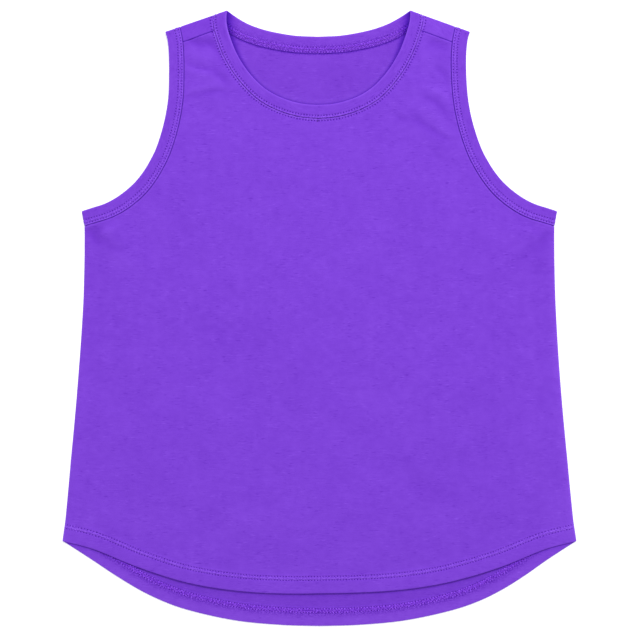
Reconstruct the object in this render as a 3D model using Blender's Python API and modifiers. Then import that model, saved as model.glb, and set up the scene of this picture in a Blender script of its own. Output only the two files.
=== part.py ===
"""Athletic tank top, laid flat with its front up.

A plain fitted jersey tank: front panel, back panel with a drop-tail hem and forward
shoulder seams, a folded neck band and two folded armhole bands.  The garment lies on
its back panel.  +X is the wearer's left, +Y runs from hem to neck, +Z is up off the
surface that it lies on.  The origin is under the middle of its outline.

Every outline below is half of the garment, in millimetres: x is the distance from the
centre line, y the distance up from the middle of the garment's length.
"""
import math
from collections import namedtuple

import bmesh
import bpy
import numpy as np

MM = 0.001

# ---------------------------------------------------------------- driving sizes, mm
CLOTH = 1.0            # wall of one layer of jersey
FOLDED = 1.8           # wall of a folded band, two layers pressed together
SEAM_GAP = 0.3         # clearance between pieces that are sewn to each other
NECK_BAND_WIDTH = 13.8
ARMHOLE_BAND_WIDTH = 15.3
EDGE_RISE = 1.8        # height of the front's mid-surface where it meets the side seam
CROWN = 2.2            # how much higher the front lies away from its side seams
CELL = 16.0            # spacing of the front's grid

Point = namedtuple("Point", "x y")
Fold = namedtuple("Fold", "x y length width height heading")

# Side seam: straight under the arm, then flared to the hem.
UNDERARM = Point(x=238.7, y=93.8)        # lower end of the armhole band, on the side
HEM_CORNER = Point(x=261.1, y=-225.9)
FLARE_POWER = 1.75

# Shoulder: the fold at the top of the outline, from neck point to armhole.
NECK_POINT = Point(x=93.3, y=313.8)
SHOULDER_POINT = Point(x=155.5, y=291.9)
# Forward shoulder seam, on the front below that fold.
SHOULDER_SEAM_NECK = Point(x=106.6, y=292.7)
SHOULDER_SEAM_ARM = Point(x=138.2, y=281.0)

# Finished edge of the armhole band, from the shoulder down to the side.
ARMHOLE_EDGE = (
    Point(x=155.5, y=291.9),
    Point(x=153.0, y=285.6),
    Point(x=151.1, y=271.3),
    Point(x=150.8, y=247.0),
    Point(x=152.3, y=222.4),
    Point(x=157.1, y=197.9),
    Point(x=165.2, y=173.4),
    Point(x=171.4, y=161.2),
    Point(x=179.0, y=148.9),
    Point(x=189.2, y=136.7),
    Point(x=204.0, y=124.6),
    Point(x=217.3, y=117.0),
    Point(x=232.6, y=112.0),
    Point(x=241.4, y=109.1),
)
# Finished edge of the neck band on the front, from the neck point to the centre.
FRONT_NECK_EDGE = (
    Point(x=93.3, y=313.8),
    Point(x=93.2, y=307.0),
    Point(x=92.4, y=300.0),
    Point(x=88.2, y=285.6),
    Point(x=81.9, y=269.6),
    Point(x=71.4, y=253.0),
    Point(x=57.1, y=237.2),
    Point(x=44.2, y=228.0),
    Point(x=27.5, y=220.9),
    Point(x=13.5, y=217.9),
    Point(x=0.0, y=217.0),
)
# Finished edge of the neck band on the back, from the neck point to the centre.
BACK_NECK_EDGE = (
    Point(x=93.3, y=313.8),
    Point(x=85.0, y=307.4),
    Point(x=72.9, y=299.7),
    Point(x=60.7, y=294.8),
    Point(x=48.5, y=291.6),
    Point(x=24.0, y=287.9),
    Point(x=0.0, y=287.0),
)
# Folded edge of each hem, from the centre to the side seam.
FRONT_HEM = (
    Point(x=0.0, y=-279.8),
    Point(x=36.7, y=-279.4),
    Point(x=85.7, y=-276.3),
    Point(x=134.6, y=-268.3),
    Point(x=183.6, y=-253.2),
    Point(x=232.6, y=-233.7),
    Point(x=261.1, y=-225.9),
)
BACK_HEM = (
    Point(x=0.0, y=-313.8),
    Point(x=36.7, y=-312.5),
    Point(x=85.7, y=-307.6),
    Point(x=134.6, y=-296.9),
    Point(x=159.1, y=-288.3),
    Point(x=183.6, y=-276.5),
    Point(x=208.1, y=-261.5),
    Point(x=232.6, y=-245.2),
    Point(x=257.0, y=-229.6),
    Point(x=261.1, y=-225.9),
)
# The largest soft folds of the front: middle, length, width, height, heading in degrees.
FRONT_FOLDS = (
    Fold(x=231.0, y=-20.0, length=230.0, width=18.0, height=0.7, heading=92.0),
    Fold(x=-107.0, y=247.0, length=50.0, width=20.0, height=0.6, heading=172.0),
    Fold(x=-113.0, y=226.0, length=60.0, width=22.0, height=0.5, heading=165.0),
    Fold(x=112.0, y=226.0, length=74.0, width=20.0, height=0.7, heading=140.0),
    Fold(x=104.0, y=196.0, length=80.0, width=24.0, height=0.5, heading=128.0),
    Fold(x=-196.0, y=70.0, length=90.0, width=26.0, height=0.7, heading=128.0),
    Fold(x=190.0, y=64.0, length=80.0, width=26.0, height=0.5, heading=52.0),
)


# ---------------------------------------------------------------- outline functions
def through(points, count):
    """Smooth curve through the points, resampled to count evenly spaced points."""
    rows = np.array(points, dtype=float)
    rows = np.vstack([2 * rows[0] - rows[1], rows, 2 * rows[-1] - rows[-2]])
    fine = []
    for i in range(1, len(rows) - 2):
        p0, p1, p2, p3 = rows[i - 1:i + 3]
        # centripetal spacing keeps the curve from overshooting between uneven rows
        t0, t1 = 0.0, math.sqrt(np.linalg.norm(p1 - p0))
        t2 = t1 + math.sqrt(np.linalg.norm(p2 - p1))
        t3 = t2 + math.sqrt(np.linalg.norm(p3 - p2))
        for t in np.linspace(t1, t2, 24, endpoint=False):
            a1 = (t1 - t) / (t1 - t0) * p0 + (t - t0) / (t1 - t0) * p1
            a2 = (t2 - t) / (t2 - t1) * p1 + (t - t1) / (t2 - t1) * p2
            a3 = (t3 - t) / (t3 - t2) * p2 + (t - t2) / (t3 - t2) * p3
            b1 = (t2 - t) / (t2 - t0) * a1 + (t - t0) / (t2 - t0) * a2
            b2 = (t3 - t) / (t3 - t1) * a2 + (t - t1) / (t3 - t1) * a3
            fine.append((t2 - t) / (t2 - t1) * b1 + (t - t1) / (t2 - t1) * b2)
    fine.append(rows[-2])
    return evenly(np.array(fine), count)


def evenly(curve, count):
    steps = np.linalg.norm(np.diff(curve, axis=0), axis=1)
    along = np.concatenate([[0.0], np.cumsum(steps)])
    at = np.linspace(0.0, along[-1], count)
    return np.column_stack([np.interp(at, along, curve[:, 0]),
                            np.interp(at, along, curve[:, 1])])


def offset(curve, distance):
    """The curve moved sideways, to the right of its direction."""
    run = np.gradient(curve, axis=0)
    run /= np.linalg.norm(run, axis=1)[:, None]
    return curve + distance * np.column_stack([run[:, 1], -run[:, 0]])


def side_seam(count):
    """Points down the side, from the underarm to the hem corner."""
    down = np.linspace(0.0, 1.0, count)
    y = UNDERARM.y + (HEM_CORNER.y - UNDERARM.y) * down
    x = UNDERARM.x + (HEM_CORNER.x - UNDERARM.x) * down ** FLARE_POWER
    return np.column_stack([x, y])


# The shoulder fold line, its outward normal, and points along it.
SHOULDER_RUN = np.array(SHOULDER_POINT) - np.array(NECK_POINT)
SHOULDER_RUN /= np.linalg.norm(SHOULDER_RUN)
SHOULDER_OUT = np.array([-SHOULDER_RUN[1], SHOULDER_RUN[0]])


def on_shoulder(x):
    """The point of the shoulder fold at this distance from the centre line."""
    step = (x - NECK_POINT.x) / SHOULDER_RUN[0]
    return np.array(NECK_POINT) + step * SHOULDER_RUN


def seam_of(edge, width, top, bottom=None):
    """Seam line of a band: its edge moved in by the band's width, with its ends placed."""
    seam = offset(edge, width)
    keep = seam[seam[:, 1] < top[1] - 4.0]
    if bottom is None:
        return evenly(np.vstack([top, keep]), len(edge))
    keep = keep[np.linalg.norm(keep - bottom, axis=1) > 6.0]
    return evenly(np.vstack([top, keep, bottom]), len(edge))


ARM_SEAM_TOP = on_shoulder(SHOULDER_POINT.x - ARMHOLE_BAND_WIDTH * SHOULDER_RUN[0] - 0.6)
NECK_SEAM_TOP = on_shoulder(NECK_POINT.x + NECK_BAND_WIDTH * SHOULDER_RUN[0])

ARM_EDGE = through(ARMHOLE_EDGE, 27)
ARM_SEAM = seam_of(through(ARMHOLE_EDGE, 90), ARMHOLE_BAND_WIDTH, ARM_SEAM_TOP,
                   np.array(UNDERARM))
ARM_SEAM = evenly(ARM_SEAM, 27)
NECK_EDGE = through(FRONT_NECK_EDGE, 25)
NECK_SEAM = seam_of(through(FRONT_NECK_EDGE, 90), -NECK_BAND_WIDTH, NECK_SEAM_TOP)
NECK_SEAM[-1, 0] = 0.0
NECK_SEAM = evenly(NECK_SEAM, 25)
BACK_EDGE = through(BACK_NECK_EDGE, 17)
BACK_SEAM = seam_of(through(BACK_NECK_EDGE, 90), -NECK_BAND_WIDTH, NECK_SEAM_TOP)
BACK_SEAM[-1, 0] = 0.0
BACK_SEAM = evenly(BACK_SEAM, 17)


# ---------------------------------------------------------------- height of the front
def distance_to(curve, x, y):
    """Distance from each point to a line of points, on either side of the garment."""
    p = np.column_stack([np.abs(np.ravel(x)), np.ravel(y)])
    best = np.full(len(p), 1e9)
    for a, b in zip(curve[:-1], curve[1:]):
        ab = b - a
        t = np.clip(((p - a) @ ab) / (ab @ ab), 0.0, 1.0)
        best = np.minimum(best, np.linalg.norm(p - a - t[:, None] * ab, axis=1))
    return best.reshape(np.shape(x))


SIDE_LINE = side_seam(12)
HEM_LINE = through(FRONT_HEM, 12)
ARM_LINE = np.vstack([np.array(NECK_POINT), through(ARMHOLE_EDGE, 20)])


def front_height(x, y):
    """Mid-surface of the front over the table: low at its seams, with its soft folds."""
    x, y = np.asarray(x, dtype=float), np.asarray(y, dtype=float)
    rise = 1.0 - np.exp(-distance_to(SIDE_LINE, x, y) / 18.0)
    rise *= 0.35 + 0.65 * (1.0 - np.exp(-distance_to(HEM_LINE, x, y) / 25.0))
    rise *= 0.45 + 0.55 * (1.0 - np.exp(-distance_to(ARM_LINE, x, y) / 20.0))
    z = EDGE_RISE + CROWN * rise
    for fold in FRONT_FOLDS:
        c, s = math.cos(math.radians(fold.heading)), math.sin(math.radians(fold.heading))
        along = (x - fold.x) * c + (y - fold.y) * s
        across = -(x - fold.x) * s + (y - fold.y) * c
        z = z + (fold.height * np.exp(-(across / (fold.width / 2)) ** 2)
                 * np.exp(-(along / (fold.length / 2)) ** 4)
                 * np.clip(distance_to(ARM_LINE, x, y) / 30.0, 0.0, 1.0))
    return z


# ---------------------------------------------------------------- scene helpers
def start(name):
    for old in list(bpy.data.objects):
        bpy.data.objects.remove(old, do_unlink=True)
    made = bpy.data.collections.new(name)
    bpy.context.scene.collection.children.link(made)
    cutters = bpy.data.collections.new("cutters")
    bpy.context.scene.collection.children.link(cutters)
    root = bpy.data.objects.new(name + "_root", None)
    made.objects.link(root)
    return made, cutters, root


def jersey(name, colour, roughness):
    mat = bpy.data.materials.new(name)
    mat.use_nodes = True
    shader = mat.node_tree.nodes["Principled BSDF"]
    shader.inputs["Base Color"].default_value = (*colour, 1.0)
    shader.inputs["Roughness"].default_value = roughness
    shader.inputs["Metallic"].default_value = 0.0
    return mat


def add_mesh(name, verts, faces, mat, collection, root):
    mesh = bpy.data.meshes.new(name)
    mesh.from_pydata([tuple(v) for v in verts], [], faces)
    mesh.update()
    mesh.materials.append(mat)
    mesh.shade_smooth()
    mesh.set_sharp_from_angle(angle=math.radians(40))
    obj = bpy.data.objects.new(name, mesh)
    collection.objects.link(obj)
    obj.parent = root
    return obj


def mirror(obj):
    mod = obj.modifiers.new("other_half", "MIRROR")
    mod.use_axis = (True, False, False)
    mod.merge_threshold = 0.00001


def thicken(obj, wall):
    mod = obj.modifiers.new("wall", "SOLIDIFY")
    mod.thickness = wall * MM
    mod.offset = 0.0
    mod.use_rim = True


# ---------------------------------------------------------------- front panel
def front_outline():
    """Half of the front's cut edge, from the centre of the hem round to the neck."""
    gap = SEAM_GAP
    hem = through(FRONT_HEM, 16)
    side = side_seam(14)[::-1]
    arm = offset(ARM_SEAM[::-1], -gap)
    seam_arm, seam_neck = np.array(SHOULDER_SEAM_ARM), np.array(SHOULDER_SEAM_NECK)
    arm = arm[arm[:, 1] < seam_arm[1] - 3.0]
    neck = offset(NECK_SEAM, -gap)
    neck = neck[neck[:, 1] < seam_neck[1] - 3.0]
    drop = SHOULDER_OUT * gap / 2
    corner_arm = np.array([np.interp(seam_arm[1], ARM_SEAM[::-1, 1], ARM_SEAM[::-1, 0])
                           - gap, seam_arm[1]]) - drop
    corner_neck = np.array([np.interp(seam_neck[1], NECK_SEAM[::-1, 1], NECK_SEAM[::-1, 0])
                            + gap, seam_neck[1]]) - drop
    neck[-1, 0] = 0.0
    underarm = np.array(UNDERARM) - [0.0, 2 * gap]
    return np.vstack([hem[:-1], side[:-1], underarm, arm[1:], corner_arm, corner_neck, neck])


def make_front(collection, cutters, root, mat):
    half = front_outline()
    whole = np.vstack([half, half[-2:0:-1] * [-1.0, 1.0]])
    curve = bpy.data.curves.new("front_outline", "CURVE")
    curve.dimensions = "2D"
    curve.fill_mode = "BOTH"
    curve.extrude = 20 * MM
    spline = curve.splines.new("POLY")
    spline.points.add(len(whole) - 1)
    for place, (x, y) in zip(spline.points, whole):
        place.co = (x * MM, y * MM, 0.0, 1.0)
    spline.use_cyclic_u = True
    flat = bpy.data.objects.new("front_outline_curve", curve)
    cutters.objects.link(flat)
    depsgraph = bpy.context.evaluated_depsgraph_get()
    cutter_mesh = bpy.data.meshes.new_from_object(flat.evaluated_get(depsgraph))
    bpy.data.objects.remove(flat, do_unlink=True)
    shape = bmesh.new()
    shape.from_mesh(cutter_mesh)
    bmesh.ops.remove_doubles(shape, verts=shape.verts, dist=0.00001)
    bmesh.ops.recalc_face_normals(shape, faces=shape.faces)
    shape.to_mesh(cutter_mesh)
    shape.free()
    cutter = bpy.data.objects.new("front_outline", cutter_mesh)
    cutter.hide_render = True
    cutter.display_type = "WIRE"
    cutters.objects.link(cutter)

    width = 2 * HEM_CORNER.x + 12.0
    low, high = FRONT_HEM[0].y - 6.0, SHOULDER_SEAM_NECK.y + 6.0
    columns, rows = round(width / CELL), round((high - low) / CELL)
    bpy.ops.mesh.primitive_grid_add(x_subdivisions=columns, y_subdivisions=rows, size=1.0)
    obj = bpy.context.active_object
    obj.name = obj.data.name = "front"
    for vert in obj.data.vertices:
        x, y = vert.co.x * width, (low + high) / 2 + vert.co.y * (high - low)
        vert.co = (x * MM, y * MM, float(front_height(x, y)) * MM)
    for owner in list(obj.users_collection):
        owner.objects.unlink(obj)
    collection.objects.link(obj)
    obj.parent = root
    obj.data.materials.append(mat)
    obj.data.shade_smooth()
    thicken(obj, CLOTH)
    cut = obj.modifiers.new("outline", "BOOLEAN")
    cut.operation = "INTERSECT"
    cut.solver = "EXACT"
    cut.object = cutter
    return obj


# ---------------------------------------------------------------- back panel
def make_back(collection, root, mat):
    """Flat panel, carried over the shoulder fold to the forward shoulder seam."""
    gap = SEAM_GAP
    low = CLOTH / 2
    hem = through(BACK_HEM, 18)
    side = side_seam(14)[::-1]
    arm = offset(ARM_SEAM[::-1], -gap)
    neck = offset(BACK_SEAM, -gap)
    neck[-1, 0] = 0.0

    # the fold: a half turn about a line just inside the shoulder's outline
    fold_count = 5
    arm_x, neck_x = ARM_SEAM_TOP[0] - gap, NECK_SEAM_TOP[0] + gap
    base = [on_shoulder(x) for x in np.linspace(arm_x, neck_x, fold_count)]
    high = float(front_height(*on_shoulder((arm_x + neck_x) / 2)))
    radius = (high - low) / 2
    inset = radius + CLOTH / 2
    turn = []
    for angle in np.linspace(0.0, math.pi, 7):
        turn.append([np.append(p - SHOULDER_OUT * (inset - radius * math.sin(angle)),
                               low + radius * (1 - math.cos(angle))) for p in base])
    # the flap from there to the forward shoulder seam, between the two bands
    flap = []
    for share in (0.25, 0.5, 0.75, 1.0):
        ends = []
        for seam, start_y, end_y, clear in (
                (ARM_SEAM, turn[-1][0][1], SHOULDER_SEAM_ARM.y, -1.3 * gap),
                (NECK_SEAM, turn[-1][-1][1], SHOULDER_SEAM_NECK.y, 1.8 * gap)):
            y = start_y + (end_y - start_y) * share
            start_x = turn[-1][0 if clear < 0 else -1][0]
            x = np.interp(y, seam[::-1, 1], seam[::-1, 0]) + clear
            if y > seam[1, 1]:
                x = start_x + (seam[1, 0] + clear - start_x) * (start_y - y) / (start_y - seam[1, 1])
            ends.append(np.array([x, y]) + SHOULDER_OUT * (gap / 2 if share == 1.0 else 0.0))
        line = [ends[0] + (ends[1] - ends[0]) * k for k in np.linspace(0.0, 1.0, fold_count)]
        flap.append([np.append(p, float(front_height(*p))) for p in line])

    arm = arm[arm[:, 1] < turn[0][0][1] - 2.0]
    neck = neck[neck[:, 1] < turn[0][-1][1] - 2.0]
    underarm = np.array(UNDERARM) - [0.0, 2 * gap]
    flat = np.vstack([hem[:-1], side[:-1], underarm, arm[1:]])
    verts = [np.append(p, low) for p in flat]
    ring = list(range(len(verts)))
    rows = []
    for line in turn + flap:
        rows.append(list(range(len(verts), len(verts) + fold_count)))
        verts.extend(line)
    ring += rows[0]
    for p in neck:
        ring.append(len(verts))
        verts.append(np.append(p, low))
    faces = [tuple(ring)]
    for lower, upper in zip(rows[:-1], rows[1:]):
        for i in range(fold_count - 1):
            faces.append((lower[i], upper[i], upper[i + 1], lower[i + 1]))
    obj = add_mesh("back", np.array(verts) * MM, faces, mat, collection, root)
    mirror(obj)
    thicken(obj, CLOTH)
    return obj


# ---------------------------------------------------------------- bands
def fold_turn(seam_end, edge_end, outward, high, low, wall, steps=5):
    """Stations of a band going round a fold, from the top layer to the bottom one."""
    radius = (high - low) / 2
    inset = radius + wall / 2
    stations = []
    for angle in np.linspace(0.0, math.pi, steps):
        shift = -outward * (inset - radius * math.sin(angle))
        z = low + radius * (1 + math.cos(angle))
        stations.append((np.append(seam_end + shift, z), np.append(edge_end + shift, z)))
    return stations


def layer(seam, edge, low, wall):
    """Stations of a band lying on the front (low is None) or on the table."""
    stations = []
    for s, e in zip(seam, edge):
        if low is None:
            lift = (wall - CLOTH) / 2
            zs, ze = float(front_height(*s)) + lift, float(front_height(*e)) + lift
        else:
            zs = ze = low
        stations.append((np.append(s, zs), np.append(e, ze)))
    return stations


def strip(stations, closed):
    """One sheet through the stations, three points across each."""
    verts, faces = [], []
    for s, e in stations:
        verts += [s, (s + e) / 2, e]
    count = len(stations)
    for i in range(count if closed else count - 1):
        a, b = 3 * i, 3 * ((i + 1) % count)
        for k in range(2):
            faces.append((a + k, a + k + 1, b + k + 1, b + k))
    return verts, faces


def make_neck_band(collection, root, mat):
    low = FOLDED / 2
    high = float(front_height(*NECK_POINT)) + (FOLDED - CLOTH) / 2
    high_seam = float(front_height(*NECK_SEAM_TOP)) + (FOLDED - CLOTH) / 2
    turn = fold_turn(NECK_SEAM_TOP, np.array(NECK_POINT), SHOULDER_OUT,
                     max(high, high_seam), low, FOLDED)
    front = layer(NECK_SEAM[:0:-1], NECK_EDGE[:0:-1], None, FOLDED)
    back = layer(BACK_SEAM[1:], BACK_EDGE[1:], low, FOLDED)
    verts, faces = strip(front + turn + back, closed=False)
    obj = add_mesh("neck_band", np.array(verts) * MM, faces, mat, collection, root)
    mirror(obj)
    thicken(obj, FOLDED)
    return obj


def make_armhole_band(name, hand, collection, root, mat):
    """hand is +1 for the wearer's left, -1 for the wearer's right."""
    low = FOLDED / 2
    top_high = float(front_height(*SHOULDER_POINT)) + (FOLDED - CLOTH) / 2
    shoulder = fold_turn(ARM_SEAM_TOP, np.array(SHOULDER_POINT), SHOULDER_OUT,
                         top_high, low, FOLDED)
    side_run = np.array(UNDERARM) - np.array(ARMHOLE_EDGE[-1])
    side_run /= np.linalg.norm(side_run)
    side_out = np.array([-side_run[1], side_run[0]])
    side = fold_turn(np.array(UNDERARM), np.array(ARMHOLE_EDGE[-1]), side_out,
                     top_high, low, FOLDED)
    front = layer(ARM_SEAM[1:-1], ARM_EDGE[1:-1], None, FOLDED)
    bottom = layer(ARM_SEAM[1:-1], ARM_EDGE[1:-1], low, FOLDED)
    stations = front + side + bottom[::-1] + shoulder[::-1]
    verts, faces = strip(stations, closed=True)
    verts = np.array(verts) * MM
    verts[:, 0] *= hand
    if hand < 0:
        faces = [tuple(reversed(f)) for f in faces]
    obj = add_mesh(name, verts, faces, mat, collection, root)
    thicken(obj, FOLDED)
    return obj


# ---------------------------------------------------------------- assembly
def main():
    made, cutters, root = start("athletic_tank_top")
    violet = (0.2159, 0.0595, 0.7084)
    violet_band = (0.2122, 0.0578, 0.7011)
    make_front(made, cutters, root, jersey("front_jersey", violet, 0.85))
    make_back(made, root, jersey("back_jersey", violet, 0.85))
    make_neck_band(made, root, jersey("neck_band_jersey", violet_band, 0.85))
    make_armhole_band("armhole_band_left", +1, made, root,
                      jersey("armhole_band_left_jersey", violet_band, 0.85))
    make_armhole_band("armhole_band_right", -1, made, root,
                      jersey("armhole_band_right_jersey", violet_band, 0.85))


main()
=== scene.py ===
import math
from collections import namedtuple

import bpy
import numpy as np
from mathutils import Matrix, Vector
from mathutils.geometry import delaunay_2d_cdt


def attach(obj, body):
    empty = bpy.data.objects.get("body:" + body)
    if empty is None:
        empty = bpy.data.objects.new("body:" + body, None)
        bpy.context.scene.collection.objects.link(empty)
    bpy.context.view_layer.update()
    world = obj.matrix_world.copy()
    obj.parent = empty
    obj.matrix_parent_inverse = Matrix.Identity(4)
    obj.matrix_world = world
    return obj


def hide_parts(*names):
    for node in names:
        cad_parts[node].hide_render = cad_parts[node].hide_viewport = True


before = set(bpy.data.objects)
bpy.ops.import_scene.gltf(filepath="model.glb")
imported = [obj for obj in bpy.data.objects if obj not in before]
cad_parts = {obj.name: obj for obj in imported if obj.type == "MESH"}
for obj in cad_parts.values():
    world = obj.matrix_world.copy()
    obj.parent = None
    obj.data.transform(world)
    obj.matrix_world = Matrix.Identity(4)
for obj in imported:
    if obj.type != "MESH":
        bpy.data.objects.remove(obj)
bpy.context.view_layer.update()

MM = 0.001
Point = namedtuple("Point", "x y")

# ---------------------------------------------------------------- sizes, mm
CLOTH = 0.9            # one layer of jersey
LEAF = 0.65            # each leaf of a folded band, pressed
SLOT = 0.22            # what is left between the two leaves
SEAM_GAP = 0.12        # between pieces at a seam
RIM = 0.4              # how far a cloth edge rounds off
PITCH = 2.95           # one stitch
TURN_UP = 17.8         # hem allowance, from the folded edge
HEM_ROWS = (13.6, 17.4)
NECK_BAND_WIDTH = 13.8
ARMHOLE_BAND_WIDTH = 15.3
BAND_ROWS_ARM = (2.0, 5.8)
BAND_ROW_NECK = 2.6

# the construction's own sizes, which give the height of the front
EDGE_RISE = 1.8
CROWN = 2.2
UNDERARM = Point(x=239.7, y=93.8)
HEM_CORNER = Point(x=262.2, y=-227.6)
FLARE_POWER = 1.75
NECK_POINT = Point(x=93.3, y=313.8)
SHOULDER_POINT = Point(x=155.5, y=291.9)
SHOULDER_SEAM_NECK = Point(x=106.6, y=292.7)
SHOULDER_SEAM_ARM = Point(x=138.2, y=281.0)

ARMHOLE_EDGE = (
    Point(x=155.5, y=291.9), Point(x=153.4, y=285.6), Point(x=151.7, y=271.3),
    Point(x=151.5, y=247.0), Point(x=153.0, y=222.4), Point(x=157.7, y=197.9),
    Point(x=165.6, y=173.4), Point(x=171.6, y=161.2), Point(x=179.2, y=148.9),
    Point(x=189.4, y=136.7), Point(x=204.2, y=124.6), Point(x=217.7, y=117.0),
    Point(x=233.4, y=111.8), Point(x=242.6, y=108.9),
)
FRONT_NECK_EDGE = (
    Point(x=93.3, y=313.8), Point(x=93.5, y=307.0), Point(x=92.9, y=300.0),
    Point(x=88.8, y=285.4), Point(x=82.3, y=269.4), Point(x=72.0, y=252.6),
    Point(x=57.6, y=236.8), Point(x=44.4, y=227.7), Point(x=27.5, y=220.9),
    Point(x=13.5, y=217.9), Point(x=0.0, y=217.0),
)
BACK_NECK_EDGE = (
    Point(x=93.3, y=313.8), Point(x=85.0, y=307.9), Point(x=72.9, y=300.9),
    Point(x=60.7, y=296.1), Point(x=48.5, y=292.7), Point(x=24.0, y=288.4),
    Point(x=0.0, y=287.2),
)
FRONT_HEM = (
    Point(x=0.0, y=-280.8), Point(x=36.7, y=-280.5), Point(x=85.7, y=-277.4),
    Point(x=134.6, y=-269.4), Point(x=183.6, y=-254.4), Point(x=232.6, y=-235.0),
    Point(x=262.2, y=-227.6),
)
BACK_HEM = (
    Point(x=0.0, y=-314.4), Point(x=36.7, y=-313.4), Point(x=85.7, y=-308.8),
    Point(x=134.6, y=-298.2), Point(x=159.1, y=-289.9), Point(x=183.6, y=-278.2),
    Point(x=208.1, y=-263.3), Point(x=232.6, y=-246.6), Point(x=257.0, y=-230.8),
    Point(x=262.2, y=-227.6),
)
# How far the laid garment leans to one side, by height, in mm: (y, to +X).
LEAN = ((330.0, -0.5), (313.7, -0.6), (303.0, -1.2), (293.0, -1.7), (262.7, -1.75), (247.0, -1.6),
        (227.0, -1.2), (201.0, -0.95), (181.0, -0.7), (160.7, -0.45), (140.0, -0.15), (120.0, 0.05),
        (99.5, 0.2), (20.0, 0.2), (-60.0, -0.15), (-150.0, -0.1), (-210.0, 0.1), (-247.0, 0.3),
        (-268.0, 1.2), (-288.0, 1.6), (-304.0, 1.1), (-316.0, 0.3), (-330.0, 0.0))
# The front's hem lies a little lower on one side, as laid: (x, to +Y).
TILT = ((-262.0, 0.0), (-225.0, 0.0), (-190.0, -0.3), (-150.0, -0.65), (-60.0, -0.75), (-20.0, -0.35),
        (0.0, 0.0), (30.0, 0.45), (90.0, 0.6), (140.0, 0.95), (168.0, 0.4), (190.0, 0.0), (262.0, 0.0))
# How far the side edge stands out of a smooth flare, by height, in mm.
SIDE_EASE = ((-227.6, -207.0, -176.0, -145.0, -64.0, 18.0, 60.0, 93.8),
             (0.0, -0.5, -0.1, 0.3, -0.1, -0.7, -0.4, 0.0))
Fold = namedtuple("Fold", "x y length width height heading")
# The largest soft folds of the front: middle, length, width, height, heading in degrees.
FRONT_FOLDS = (
    Fold(x=231.0, y=-20.0, length=230.0, width=20.0, height=0.5, heading=92.0),
    Fold(x=-107.0, y=247.0, length=50.0, width=20.0, height=0.6, heading=172.0),
    Fold(x=-113.0, y=226.0, length=60.0, width=22.0, height=0.5, heading=165.0),
    Fold(x=112.0, y=226.0, length=74.0, width=20.0, height=0.7, heading=140.0),
    Fold(x=104.0, y=196.0, length=80.0, width=24.0, height=0.5, heading=128.0),
    Fold(x=-196.0, y=70.0, length=90.0, width=26.0, height=0.7, heading=128.0),
    Fold(x=190.0, y=64.0, length=80.0, width=26.0, height=0.5, heading=52.0),
)
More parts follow.
